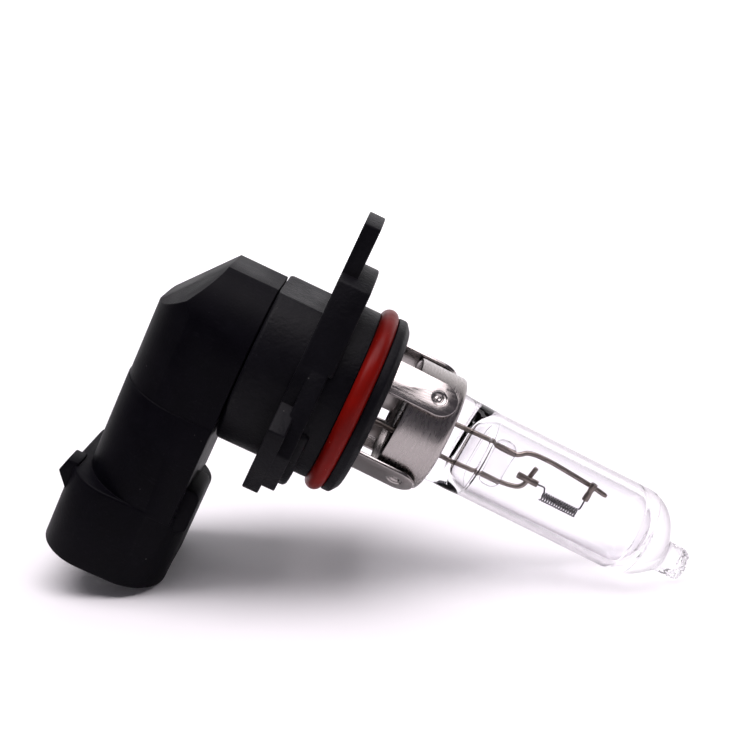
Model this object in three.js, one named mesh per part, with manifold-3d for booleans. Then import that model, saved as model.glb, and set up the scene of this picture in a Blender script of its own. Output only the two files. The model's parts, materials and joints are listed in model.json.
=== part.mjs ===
import * as THREE from 'three';
import { mergeVertices } from 'three/addons/utils/BufferGeometryUtils.js';
import Module from 'manifold-3d';

// Right-angle headlight bulb, single filament, in millimetres.
// The pieces are drawn in the bulb's own axes: +X along the bulb to the glass tip, +Z away from the
// connector, x = 0 at the front of the three locating lugs. The last group lays the bulb down on its
// connector rim and its glass tip, with +Z up and z = 0 at the surface below.

const wasm = await Module();
wasm.setup();

// Driving dimensions
const LIGHT_CENTRE = 31.3;      // seat plane to the middle of the filament
const COLLAR_R = 9.8;           // body that enters the lamp
const FLAT_TOP = 8.6;           // height of the flat along the collar and elbow
const LUG_REAR = -1.4;
const LUG_FRONT = 0.4;
const LUG_R = 13.9;             // two lower lugs and the rim lobes
const LONG_LUG_R = 19.2;
const LUG_HALF = 4.2;
const RIM_FRONT = 2.2;
const GROOVE = [4.4, 6.4];      // O-ring groove
const GROOVE_R = 8.7;
const LIP_R = 10.2;
const NOSE_FRONT = 8.0;
const RING_SECTION = 1.0;       // radius of the O-ring's section
const RING_R = 9.7;             // O-ring's centre circle
const BORE_R = 6.2;
const FRONT_BORE_R = 3.45;
const CAVITY_R = 6.6;
const ELBOW_R = 9.2;
const ELBOW_FRONT = -6.5;
const ELBOW_BACK = -17.5;
const SEAM_Z = -6.5;            // parting step between elbow and arm
const SHOULDER_Z = -17.8;
const RIM_Z = -27.2;
const SHROUD_X = [-18.9, -4.9];
const SHROUD_HALF_Y = 9.4;
const SHROUD_CORNER = 5.2;
const WALL_SINK = 0.06;
const CHAMFER_X = -12.1;
const CHAMFER_Z = 8.5;
const CHAMFER_SLOPE = 1.2;
const CHAMFER_HALF = 3.4;
const CHAMFER_SIDE = 11.5;
const WALL = 1.4;
const BLADE_Y = 3.8;            // terminal's distance from the middle plane
const BLADE_X = -11.9;
const SLEEVE_R = 6.7;
const SLEEVE_X = [10.4, 15.9];
const TONGUE_START = 6.8;
const TUBE_R = 5.05;
const TUBE_WALL = 0.95;
const TUBE_END = 43.6;          // top of the dome
const TIP_END = 47.2;
const PINCH_HALF = [1.9, 5.2];  // half thickness, half width
const LEAD_R = 0.27;
const LEAD_Z = 2.0;
const COIL_R = 0.5;
const COIL_LENGTH = 4.4;
const COIL_Z = -1.1;
const COIL_TURNS = 15;
const CAPSULE_TILT = 0.028;     // the glass leans this far towards the connector, in radians
const CAPSULE_LIFT = 0.6;       // and sits this far above the base's axis at the sleeve
const GAP = 0.15;               // clearance between neighbouring pieces
const ROUND = 48;               // sides of a full circle

const plastic = (color, roughness) => new THREE.MeshStandardMaterial({ color, roughness, metalness: 0 });
const metal = (color, roughness) => new THREE.MeshStandardMaterial({ color, roughness, metalness: 1 });
const BLACK = plastic(0x17161c, 0.6);
const GREY_SEAL = plastic(0x3a3a3c, 0.8);
const RED_RUBBER = plastic(0xb0332a, 0.5);
const STEEL = metal(0xb9b4ae, 0.35);
const TINNED = metal(0xc8c4bc, 0.3);
const LEAD_METAL = metal(0x8a8078, 0.4);
const TUNGSTEN = metal(0x4a4a4c, 0.5);
const GLASS = new THREE.MeshStandardMaterial({ color: 0xf2f2f8, roughness: 0.05, transparent: true, opacity: 0.3 });
const BEAD_GLASS = new THREE.MeshStandardMaterial({ color: 0xe8e6ee, roughness: 0.1, transparent: true, opacity: 0.5 });

// A geometry as a manifold solid, and back
function solid(geometry) {
  const g = geometry.clone();
  g.deleteAttribute('normal');
  g.deleteAttribute('uv');
  const merged = mergeVertices(g, 1e-4);
  return new wasm.Manifold(new wasm.Mesh({
    numProp: 3,
    vertProperties: new Float32Array(merged.attributes.position.array),
    triVerts: new Uint32Array(merged.index.array),
  }));
}

function geometryOf(body) {
  const out = body.getMesh();
  const g = new THREE.BufferGeometry();
  g.setAttribute('position', new THREE.BufferAttribute(new Float32Array(out.vertProperties), 3));
  g.setIndex(new THREE.BufferAttribute(new Uint32Array(out.triVerts), 1));
  g.computeVertexNormals();
  return g;
}

const union = (...bodies) => bodies.reduce((sum, body) => sum.add(body));
const cut = (body, ...tools) => tools.reduce((rest, tool) => rest.subtract(tool), body);

// A profile of [x, r] points turned about the bulb's axis
function turned(profile, sides = ROUND) {
  const points = profile.map(([x, r]) => new THREE.Vector2(r, x));
  return solid(new THREE.LatheGeometry(points, sides).rotateZ(-Math.PI / 2));
}

const rod = (x0, x1, r, sides = ROUND) => turned([[x0, 0], [x0, r], [x1, r], [x1, 0]], sides);
const hoop = (x0, x1, r0, r1, sides = ROUND) => cut(rod(x0, x1, r1, sides), rod(x0 - 1, x1 + 1, r0, sides));

// A flat outline in the y-z plane drawn out along x, or in the x-y plane along z
function alongX(shape, x0, x1) {
  const g = new THREE.ExtrudeGeometry(shape, { depth: x1 - x0, bevelEnabled: false, curveSegments: 10 });
  const axes = new THREE.Matrix4().makeBasis(
    new THREE.Vector3(0, 1, 0), new THREE.Vector3(0, 0, 1), new THREE.Vector3(1, 0, 0));
  return solid(g.applyMatrix4(axes).translate(x0, 0, 0));
}

function alongZ(shape, z0, z1) {
  const g = new THREE.ExtrudeGeometry(shape, { depth: z1 - z0, bevelEnabled: false, curveSegments: 10 });
  return solid(g.translate(0, 0, z0));
}

// An outline in the x-z plane drawn out along y
function alongY(shape, y0, y1) {
  const g = new THREE.ExtrudeGeometry(shape, { depth: y1 - y0, bevelEnabled: false, curveSegments: 10 });
  return solid(g.rotateX(Math.PI / 2).translate(0, y1, 0));
}

function box([x0, x1], [y0, y1], [z0, z1]) {
  const g = new THREE.BoxGeometry(x1 - x0, y1 - y0, z1 - z0);
  return solid(g.translate((x0 + x1) / 2, (y0 + y1) / 2, (z0 + z1) / 2));
}

const polygon = (points) => new THREE.Shape(points.map(([a, b]) => new THREE.Vector2(a, b)));

function roundedBox(a0, a1, b0, b1, r) {
  const s = new THREE.Shape();
  s.absarc(a1 - r, b1 - r, r, 0, Math.PI / 2);
  s.absarc(a0 + r, b1 - r, r, Math.PI / 2, Math.PI);
  s.absarc(a0 + r, b0 + r, r, Math.PI, Math.PI * 1.5);
  s.absarc(a1 - r, b0 + r, r, Math.PI * 1.5, Math.PI * 2);
  s.closePath();
  return s;
}

// A wire of round section along a curve
function wire(curve, radius, steps, sides = 10) {
  const section = new THREE.Shape();
  for (let i = 0; i < sides; i += 1) {
    const a = (2 * Math.PI * i) / sides;
    const point = [radius * Math.cos(a), radius * Math.sin(a)];
    if (i === 0) section.moveTo(...point);
    else section.lineTo(...point);
  }
  return new THREE.ExtrudeGeometry(section, { steps, extrudePath: curve, bevelEnabled: false });
}

// A mesh from a solid or a geometry
function piece(name, shape, material) {
  const geometry = shape instanceof THREE.BufferGeometry ? shape : geometryOf(shape);
  const mesh = new THREE.Mesh(geometry, material);
  mesh.name = name;
  return mesh;
}

// Flange base: collar, three lugs, O-ring groove and nose

// Slot in the nose's front face for one tongue, leaning with the capsule
function tongueSlot(index) {
  const inner = SLEEVE_R + GAP;
  const slot = box([TONGUE_START - 0.2, NOSE_FRONT + 1], [-2.3, 2.3], [inner - 0.25, inner + 0.75]);
  const degrees = (CAPSULE_TILT * 180) / Math.PI;
  return slot.rotate([-45 - 90 * index, 0, 0]).translate([-15, 0, 0]).rotate([0, degrees, 0])
    .translate([15, 0, CAPSULE_LIFT]);
}

// Outline of a lobe: an arc of the outer radius with flanks tangent to the disc
function lobe(middle, halfAngle, outer, disc) {
  const flank = Math.acos(disc / outer);
  const points = [];
  for (let i = 0; i <= 8; i += 1) {
    const a = middle - halfAngle + (2 * halfAngle * i) / 8;
    points.push([outer * Math.cos(a), outer * Math.sin(a)]);
  }
  const left = middle + halfAngle + flank;
  const right = middle - halfAngle - flank;
  points.push([disc * Math.cos(left), disc * Math.sin(left)], [0, 0],
    [disc * Math.cos(right), disc * Math.sin(right)]);
  return polygon(points);
}

// A plate lug with parallel sides and a round end, pointing along +Z before it is turned
function lugPlate(half, outer) {
  const s = new THREE.Shape();
  const rise = Math.sqrt(outer * outer - half * half);
  const edge = Math.atan2(rise, half);
  s.moveTo(-half, 2);
  s.lineTo(half, 2);
  s.lineTo(half, rise);
  s.absarc(0, 0, outer, edge, Math.PI - edge);
  s.closePath();
  return s;
}

const THIRD = (2 * Math.PI) / 3;

function flangeBase() {
  const discR = COLLAR_R + 0.5;
  const body = turned([
    [-6.1, 0], [-6.1, COLLAR_R - 0.3], [-5.8, COLLAR_R], [GROOVE[0], COLLAR_R], [GROOVE[0], GROOVE_R],
    [GROOVE[1], GROOVE_R], [GROOVE[1], LIP_R], [NOSE_FRONT - 0.7, LIP_R],
    [NOSE_FRONT, LIP_R - 0.9], [NOSE_FRONT, 0],
  ], 60);
  const topCut = box([-7, LUG_REAR], [-12, 12], [FLAT_TOP, 14]);
  const disc = rod(LUG_REAR, 1.75, discR, 60);
  const lobeTop = alongX(lobe(Math.PI / 2, 0.3, LUG_R, discR), LUG_REAR, RIM_FRONT);
  let solidBase = union(cut(body, topCut), disc, lobeTop);
  for (let i = 0; i < 3; i += 1) {
    const turn = i * THIRD;
    const degrees = (turn * 180) / Math.PI;
    const reach = i === 0 ? LONG_LUG_R : LUG_R;
    const half = i === 0 ? LUG_HALF : LUG_HALF + 1;
    solidBase = union(solidBase, alongX(lugPlate(half, reach), LUG_REAR, LUG_FRONT).rotate([degrees, 0, 0]));
    if (i > 0) {
      const layer = alongX(lugPlate(half - 0.3, reach - 0.2), LUG_FRONT - 0.5, 1.8);
      const middle = Math.PI / 2 + turn + (i === 1 ? 0.4 : -0.4);
      const cam = alongX(lobe(middle, 0.2, LUG_R - 2.3, discR), 1, RIM_FRONT + 0.6);
      solidBase = union(solidBase, layer.rotate([degrees, 0, 0]), cam);
    }
  }
  const bore = union(rod(-7, 3.4, BORE_R), rod(3, NOSE_FRONT + 1, FRONT_BORE_R));
  const rearRecess = rod(-7, -3.8, 8.3);
  const slots = [0, 1, 2, 3].map(tongueSlot);
  return piece('flange_base', cut(solidBase, bore, rearRecess, ...slots), BLACK);
}

function oRing() {
  const profile = [];
  for (let i = 0; i < 12; i += 1) {
    const a = (2 * Math.PI * i) / 12;
    profile.push(new THREE.Vector2(RING_R + RING_SECTION * Math.cos(a), 5.4 + RING_SECTION * 0.9 * Math.sin(a)));
  }
  profile.push(profile[0].clone());
  const g = new THREE.LatheGeometry(profile, 48).rotateZ(-Math.PI / 2);
  const ring = solid(g);
  return piece('o_ring', cut(ring, rod(GROOVE[0] - 2, GROOVE[1] + 2, GROOVE_R + 0.05)), RED_RUBBER);
}

// Elbow, arm and connector shroud, moulded as one

// Plan of the elbow: rounded towards the back, square at the front
function elbowPlan(back, half, corner) {
  const s = new THREE.Shape();
  s.moveTo(ELBOW_FRONT, -half);
  s.lineTo(ELBOW_FRONT, half);
  s.lineTo(back + corner, half);
  s.absarc(back + corner, half - corner, corner, Math.PI / 2, Math.PI);
  s.absarc(back + corner, corner - half, corner, Math.PI, Math.PI * 1.5);
  s.closePath();
  return s;
}

function elbowShell() {
  const plan = alongZ(elbowPlan(ELBOW_BACK, ELBOW_R, 7.4), SEAM_Z, FLAT_TOP - 0.1);
  const drum = rod(ELBOW_BACK - 2, ELBOW_FRONT, ELBOW_R, 60);
  const below = box([ELBOW_BACK - 2, ELBOW_FRONT], [-10, 10], [SEAM_Z - 2, 0]);
  const far = backChamfer(CHAMFER_HALF, -CHAMFER_SIDE);
  const near = backChamfer(-CHAMFER_HALF, CHAMFER_SIDE);
  return cut(plan.intersect(union(drum, below)), backChamfer(0, 0), far, near);
}

// What one plane of the back chamfer takes away: it holds the slope's line at y and leans to the side
function backChamfer(y, side) {
  const slope = (Math.atan(CHAMFER_SLOPE) * 180) / Math.PI;
  const above = box([-30, 12], [-30, 30], [0, 30]);
  return above.rotate([side, 0, 0]).rotate([0, -slope, 0]).translate([CHAMFER_X, y, CHAMFER_Z]);
}

function latchEar() {
  const out = SHROUD_X[0] - 1.5;
  const section = [[out, SHOULDER_Z], [out, SHOULDER_Z - 1.8], [SHROUD_X[0] + 0.5, SHOULDER_Z - 3.4],
    [SHROUD_X[0] + 0.5, SHOULDER_Z]];
  return alongY(polygon(section), -6.3, -3.3);
}

function latchBlock() {
  const side = roundedBox(SHROUD_X[1] - 2.2, SHROUD_X[1] + 0.1, -19.5, -14.3, 0.9);
  return alongY(side, -7.6, -1.8);
}

// The flat front wall of the shroud sinks in a little between its corners, so that the rim bears on them
function wallSink() {
  const x = SHROUD_X[1];
  const half = SHROUD_HALF_Y - SHROUD_CORNER;
  const plan = [[x + 1, -half], [x, -half], [x - WALL_SINK, 0], [x, half], [x + 1, half]];
  return alongZ(polygon(plan), RIM_Z - 1, -19.6);
}

function connectorElbow() {
  const mid = (SHROUD_X[0] + SHROUD_X[1]) / 2;
  const arm = alongZ(elbowPlan(ELBOW_BACK - 0.1, ELBOW_R + 0.1, 7.5), SHOULDER_Z - 0.5, SEAM_Z);
  const outer = roundedBox(...SHROUD_X, -SHROUD_HALF_Y, SHROUD_HALF_Y, SHROUD_CORNER);
  const block = alongZ(outer, RIM_Z, SHOULDER_Z);
  const shroud = cut(block, wallSink());
  const inner = roundedBox(SHROUD_X[0] + WALL, SHROUD_X[1] - WALL,
    WALL - SHROUD_HALF_Y, SHROUD_HALF_Y - WALL, SHROUD_CORNER - WALL);
  const socket = alongZ(inner, RIM_Z - 1, SHOULDER_Z - WALL);
  const spigot = rod(ELBOW_FRONT - 1, -4.0, 8.3 - 2 * GAP);
  const cavity = union(rod(-11, -3, CAVITY_R), box([-14.3, -9], [-5.5, 5.5], [-4.6, 2.8]));
  let body = union(elbowShell(), arm, shroud, spigot, latchEar(), latchBlock());
  body = cut(body, socket, cavity);
  for (const side of [-1, 1]) {
    const y = side * BLADE_Y;
    body = cut(body, box([BLADE_X - 1.7, BLADE_X + 1.7], [y - 0.65, y + 0.65], [SHOULDER_Z - 3, 0]));
  }
  const keyY = [SHROUD_HALF_Y - WALL - 1.2, SHROUD_HALF_Y - 0.5];
  const key = box([mid - 0.6, mid + 0.6], keyY, [RIM_Z + 1.5, SHOULDER_Z - 0.5]);
  return piece('connector_elbow', union(body, key), BLACK);
}

// Terminals, their carrier and the seal round them

function terminal(side) {
  const y = side * BLADE_Y;
  const outline = polygon([
    [BLADE_X - 1.4, RIM_Z + 2.4], [BLADE_X - 0.8, RIM_Z + 1.6], [BLADE_X + 0.8, RIM_Z + 1.6],
    [BLADE_X + 1.4, RIM_Z + 2.4], [BLADE_X + 1.4, -1.2], [1.6, -1.2], [1.6, 1.2], [BLADE_X - 1.4, 1.2],
  ]);
  const name = side < 0 ? 'terminal_near' : 'terminal_far';
  return piece(name, alongY(outline, y - 0.4, y + 0.4), TINNED);
}

function terminalCarrier() {
  const block = box([-14.3 + GAP, -9.2], [-5.5 + GAP, 5.5 - GAP], [-4.6 + GAP, 2.8 - GAP]);
  const slots = [-1, 1].map((side) => {
    const y = side * BLADE_Y;
    return union(
      box([BLADE_X - 1.6, 0], [y - 0.6, y + 0.6], [-1.4, 1.4]),
      box([BLADE_X - 1.6, BLADE_X + 1.6], [y - 0.6, y + 0.6], [-6, 1.4]));
  });
  return piece('terminal_carrier', cut(block, ...slots), GREY_SEAL);
}

function sealingCompound() {
  const plug = rod(-3.4, 1.0, BORE_R - GAP);
  const slots = [-1, 1].map((side) => {
    const y = side * BLADE_Y;
    return box([-5, 3], [y - 0.6, y + 0.6], [-1.4, 1.4]);
  });
  return piece('sealing_compound', cut(plug, ...slots), GREY_SEAL);
}

// A strip of metal bent in plan: a line of [x, y] points given a thickness, drawn up from z0 to z1
function bentStrip(points, thickness, z0, z1) {
  const left = [];
  const right = [];
  points.forEach(([x, y], i) => {
    const [ax, ay] = points[Math.max(i - 1, 0)];
    const [bx, by] = points[Math.min(i + 1, points.length - 1)];
    const length = Math.hypot(bx - ax, by - ay);
    const nx = (-(by - ay) / length) * thickness * 0.5;
    const ny = ((bx - ax) / length) * thickness * 0.5;
    left.push([x + nx, y + ny]);
    right.unshift([x - nx, y - ny]);
  });
  return alongZ(polygon([...right.reverse(), ...left.reverse()]), z0, z1);
}

// Joins a terminal's inner end to the lead that leaves the pinch
function linkStrip(side) {
  const up = side < 0 ? 1 : -1;
  const path = [[1.2, side * 3.05], [1.6, side * 3.05], [3.2, side * 0.75], [10.0, side * 0.75]];
  const z = up * 2.0;
  const name = side < 0 ? 'link_strip_upper' : 'link_strip_lower';
  return piece(name, bentStrip(path, 0.4, z - 1.1, z + 1.1), TINNED);
}

// Capsule mounting: four tongues, the sleeve and the clip that grips the pinch

function tongue(index) {
  const half = 2.0;
  const s = new THREE.Shape();
  s.moveTo(TONGUE_START, -half);
  s.lineTo(13.2, -half);
  s.absarc(13.2, 0, half, -Math.PI / 2, Math.PI / 2);
  s.lineTo(TONGUE_START, half);
  s.closePath();
  const inner = SLEEVE_R + GAP;
  const plate = alongZ(s, inner, inner + 0.45);
  const dimple = solid(new THREE.CylinderGeometry(0.9, 0.4, 0.3, 20).rotateX(Math.PI / 2)
    .translate(13.1, 0, inner + 0.4));
  const angle = 45 + 90 * index;
  const name = ['tongue_far_upper', 'tongue_far_lower', 'tongue_near_lower', 'tongue_near_upper'][index];
  return piece(name, cut(plate, dimple).rotate([-angle, 0, 0]), STEEL);
}

function capsuleSleeve() {
  const band = hoop(...SLEEVE_X, SLEEVE_R - 0.5, SLEEVE_R, 48);
  return piece('capsule_sleeve', band, STEEL);
}

function pinchClip() {
  const [t, w] = PINCH_HALF;
  const plate = rod(14.9, 15.5, SLEEVE_R - 0.5 - GAP);
  const back = rod(11.2, 11.8, SLEEVE_R - 0.5 - GAP);
  const window = box([10, 16], [-t - GAP, t + GAP], [-w - GAP, w + GAP]);
  const sides = [-1, 1].map((side) => box([11.5, 15.2],
    side > 0 ? [t + GAP, t + GAP + 0.4] : [-t - GAP - 0.4, -t - GAP], [-3.5, 3.5]));
  return piece('pinch_clip', union(cut(union(plate, back), window), ...sides), STEEL);
}

// Glass envelope: tube, dome, pinch and exhaust tip, open through the two lead bores

function domeProfile(start, end, radius, steps) {
  const points = [];
  for (let i = 0; i <= steps; i += 1) {
    const a = (Math.PI / 2) * (i / steps);
    points.push([start + (end - start) * Math.sin(a), radius * Math.cos(a)]);
  }
  return points;
}

function glassEnvelope() {
  const outer = turned([[18.2, 0], [18.2, 3.2], [19.4, 4.6], [20.6, TUBE_R],
    ...domeProfile(39.4, TUBE_END, TUBE_R, 8)]);
  const tip = turned([[TUBE_END - 2.2, 0], [TUBE_END - 2.2, 2.5], [TUBE_END - 0.4, 2.1], [TUBE_END + 0.6, 1.75],
    [TIP_END - 0.9, 1.75], [TIP_END, 1.2], [TIP_END, 0]], 24).translate([0, 0, -1.1]);
  const [t, w] = PINCH_HALF;
  const pinch = box([12.4, 18.6], [-t, t], [-w, w]);
  const shoulder = [-1, 1].map((side) => alongY(polygon([[18, 0], [18, side * w], [20.8, side * (TUBE_R - 0.6)],
    [20.8, 0]]), -t, t));
  const inner = TUBE_R - TUBE_WALL;
  const cavity = turned([[19.6, 0], [20.1, inner - 1.2], [21.2, inner], ...domeProfile(38.6, 41.6, inner, 7)]);
  const bores = [-1, 1].map((side) => rod(11, 21, LEAD_R + 0.12, 16).translate([0, 0, side * LEAD_Z]));
  return piece('glass_envelope', cut(union(outer, tip, pinch, ...shoulder), cavity, ...bores), GLASS);
}

// Inside the capsule: leads, bridge, filament and the tubes crimped on its tails

const xz = (points) => points.map(([x, z]) => new THREE.Vector3(x, 0, z));

function lead(name, points) {
  const curve = new THREE.CatmullRomCurve3(xz(points), false, 'centripetal');
  return piece(name, wire(curve, LEAD_R, 44, 8), LEAD_METAL);
}

const leadLong = () => lead('lead_long', [[8.4, LEAD_Z], [14, LEAD_Z], [20.6, LEAD_Z], [22, 1.8], [23, 1.8],
  [24.4, 1.85], [25.0, 2.3], [26.1, 2.75], [29, 2.75], [33.3, 2.45], [35.4, 2.2]]);

const leadShort = () => lead('lead_short', [[8.4, -LEAD_Z], [14, -LEAD_Z], [20.6, -LEAD_Z], [22, -1.8], [23, -1.8],
  [24.6, -1.75], [26.2, -1.45], [26.8, -0.7], [26.9, 0.3], [27.0, 1.5]]);

function glassBridge() {
  const block = alongX(roundedBox(-1.1, 1.1, -2.75, 2.75, 1.0), 21.7, 24.1);
  const bores = [-1, 1].map((side) => rod(21, 25, LEAD_R + 0.2, 16).translate([0, 0, side * 1.8]));
  return piece('glass_bridge', cut(block, ...bores), BEAD_GLASS);
}

// One wire: a tail in, the coil's turns, and a tail out
class FilamentPath extends THREE.Curve {
  getPoint(t, target = new THREE.Vector3()) {
    const x0 = LIGHT_CENTRE - COIL_LENGTH / 2;
    const x1 = LIGHT_CENTRE + COIL_LENGTH / 2;
    const top = COIL_Z + COIL_R;
    if (t < 0.03) {
      const k = t / 0.03;
      return target.set(x0 - 1.9 + 1.9 * k, -0.75 + 0.75 * k, 0.15 + (top - 0.15) * k * k);
    }
    if (t > 0.97) {
      const k = (t - 0.97) / 0.03;
      return target.set(x1 - 0.2 * k, -0.75 * k, top + (1.9 - top) * k);
    }
    const k = (t - 0.03) / 0.94;
    const a = 2 * Math.PI * COIL_TURNS * k;
    return target.set(x0 + (x1 - x0) * k, COIL_R * Math.sin(a), COIL_Z + COIL_R * Math.cos(a));
  }
}

const filament = () => piece('filament', wire(new FilamentPath(), 0.085, 240, 5), TUNGSTEN);

// A short tube at the far side of a lead, crimped on a filament tail
function tailTube(name, length, place, turn) {
  const tube = hoop(-length / 2, length / 2, 0.24, 0.42, 16).rotate([0, turn, 0]).translate(place);
  return piece(name, tube, LEAD_METAL);
}

// The capsule group leans a little; the base and connector don't
const capsule = new THREE.Group();
capsule.name = 'capsule';
for (let i = 0; i < 4; i += 1) capsule.add(tongue(i));
capsule.add(capsuleSleeve(), pinchClip(), glassEnvelope(), leadLong(), leadShort(), glassBridge(), filament());
capsule.add(tailTube('tail_tube_short_lead', 2.4, [26.6, -0.8, 0.15], 0));
capsule.add(tailTube('tail_tube_long_lead', 2.1, [33.3, -0.8, 2.0], 90));
const pivot = new THREE.Group();
pivot.position.set(15, 0, CAPSULE_LIFT);
pivot.rotation.y = CAPSULE_TILT;
capsule.position.x = -15;
pivot.add(capsule);

const bulb = new THREE.Group();
bulb.name = 'bulb';
bulb.add(flangeBase(), oRing(), connectorElbow(), terminal(-1), terminal(1), terminalCarrier(), sealingCompound());
bulb.add(linkStrip(-1), linkStrip(1), pivot);

// Lay it down: turn about Y until the connector rim's front edge and the glass tip are level
function lowest(x, z, angle) {
  return -x * Math.sin(angle) + z * Math.cos(angle);
}

const tipX = TIP_END - 0.9;
const tipZ = CAPSULE_LIFT - (tipX - 15) * CAPSULE_TILT - 1.1 - 1.75;
const lean = Math.atan2(tipZ - RIM_Z, tipX - SHROUD_X[1]);
const laid = new THREE.Group();
laid.add(bulb);
bulb.rotation.y = lean;
bulb.position.z = -lowest(SHROUD_X[1], RIM_Z, lean);
laid.updateMatrixWorld(true);
const bounds = new THREE.Box3().setFromObject(laid, true);
bulb.position.x = -(bounds.min.x + bounds.max.x) / 2;
bulb.position.z -= bounds.min.z;
laid.updateMatrixWorld(true);

export default laid;
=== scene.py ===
"""A right-angle halogen headlight bulb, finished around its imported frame.

Shapes are drawn in millimetres in the bulb's own axes: x runs along the bulb to the glass tip with
x = 0 inside the plate of the lugs, z points away from the connector. A matrix then lays them in the frame.
"""

import json
import math

import bmesh
import bpy
from mathutils import Matrix, Vector, noise


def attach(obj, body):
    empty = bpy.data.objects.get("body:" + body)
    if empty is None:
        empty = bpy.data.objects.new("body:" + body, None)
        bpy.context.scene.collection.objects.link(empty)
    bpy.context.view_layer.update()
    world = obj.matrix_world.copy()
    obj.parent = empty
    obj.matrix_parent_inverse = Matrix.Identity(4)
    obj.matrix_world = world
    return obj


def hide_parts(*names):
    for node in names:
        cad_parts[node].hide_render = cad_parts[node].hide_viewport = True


bl_info = {
    "name": "Headlight Bulb",
    "version": (1, 0, 0),
    "blender": (4, 5, 0),
    "location": "View3D > Sidebar > Bulb",
    "description": "Builds a right-angle headlight bulb piece by piece",
    "category": "Object",
}

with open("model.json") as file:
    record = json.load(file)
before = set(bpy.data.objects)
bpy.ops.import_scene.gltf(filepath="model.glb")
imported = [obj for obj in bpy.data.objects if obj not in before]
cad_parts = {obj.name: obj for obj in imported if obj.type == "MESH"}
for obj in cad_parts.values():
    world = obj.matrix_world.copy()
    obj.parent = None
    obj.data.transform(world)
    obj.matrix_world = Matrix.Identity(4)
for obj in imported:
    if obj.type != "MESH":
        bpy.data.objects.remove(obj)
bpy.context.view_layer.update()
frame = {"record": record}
MM = 0.001

# ---------------------------------------------------------------- sizes in millimetres

FLAT_TOP = 8.6          # flat along the collar and elbow
COLLAR_REAR = -6.3
LUG_REAR = -1.4
LUG_FRONT = 0.4         # the seat
DISC_FRONT = 1.75
LAYER_FRONT = 1.8       # front of the thinner layer on the two lower lugs
RIM_FRONT = 2.2
LUG_HALF = 4.2
LOWER_LUG_HALF = 5.2
LOBE_HALF_ANGLE = 24    # degrees that the upper lobe keeps its full reach to each side
LAYER_HALF_ANGLE = 12
CAM_HALF_ANGLE = 11.5
CAM_TURN = 23           # degrees from a lower lug to its cam
CAM_DROP = 2.3          # how much less a cam reaches than its lug
NOSE_FRONT = 8.0
GROOVE = (4.4, 6.4)
GROOVE_R = 8.7
LIP_R = 10.2
BORE_R = 3.45
REAR_BORE_R = 6.2
REAR_BORE_END = 3.4
REAR_RECESS_R = 8.3
REAR_RECESS_END = -3.8
ELBOW_R = 9.2
ELBOW_FRONT = -6.5
ELBOW_BACK = -17.5
ELBOW_CORNER = 7.4
ARM_GROWTH = 0.1        # how far the arm stands proud of the elbow
SPIGOT_R = 8.0
SPIGOT_FRONT = -4.0
SPIGOT_BORE_R = 6.6
SEAM_Z = -6.5
SHOULDER_Z = -17.8
RIM_Z = -27.2
SHROUD_X = (-18.9, -4.9)
SHROUD_HALF_Y = 9.4
SHROUD_CORNER = 5.2
EAR_REACH = 0.95
EAR_Y = (-6.3, -3.3)
LATCH_Y = (-7.6, -1.8)
LATCH_Z = (-19.5, -14.3)
SINK_TOP = -19.6
WALL_SINK = 0.06        # how far the shroud's flat front wall sinks in between its corners
CHAMFER = (-12.1, 8.5)  # x and z where the elbow's flat top turns down
CHAMFER_SLOPE = 1.2
CHAMFER_HALF = 3.4
CHAMFER_SIDE = 11.5     # degrees the outer parts of the slope lean sideways
WALL = 1.4
BLADE_X = -11.9
BLADE_Y = 3.8
WELD_X = 13.1
SLEEVE_R = 6.7
SLEEVE_X = (10.4, 15.9)
SLEEVE_THICKNESS = 0.45
TONGUE_START = 6.8
TONGUE_GAP = 0.15
LEAD_R = 0.27
LEAD_Z = 2.0
TAIL_R = 0.09
TIP_START = 44.2        # where the glass turns into its sealed-off tip
WIRE_END_SHARE = 0.72   # radius left at the rounded end of a wire
CAPSULE_PIVOT_X = 15.0
CAPSULE_LIFT = 0.6
CAPSULE_TILT = 0.028
SEAT_MOUNT_Z = 16.2     # how far out on the long lug the seat mount lies


def mount(name):
    return next(m for m in frame["record"]["mounts"] if m["name"] == name)


def lay_matrix():
    """From the bulb's axes in millimetres to the frame, read from the seat mount."""
    seat = mount("seat_face")
    along = Vector(seat["axis"]).normalized()
    up = Vector((-along.z, 0.0, along.x))
    origin = Vector(seat["pos_m"]) - up * SEAT_MOUNT_Z * MM - along * LUG_FRONT * MM
    turn = Matrix((along, Vector((0, 1, 0)), up)).transposed().to_4x4()
    return Matrix.Translation(origin) @ turn @ Matrix.Scale(MM, 4)


LAY = lay_matrix()
CAPSULE = (LAY @ Matrix.Translation((CAPSULE_PIVOT_X, 0, CAPSULE_LIFT))
           @ Matrix.Rotation(CAPSULE_TILT, 4, "Y") @ Matrix.Translation((-CAPSULE_PIVOT_X, 0, 0)))
LEAN = math.atan2(-mount("seat_face")["axis"][2], mount("seat_face")["axis"][0])


# ---------------------------------------------------------------- what a user can change

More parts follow.
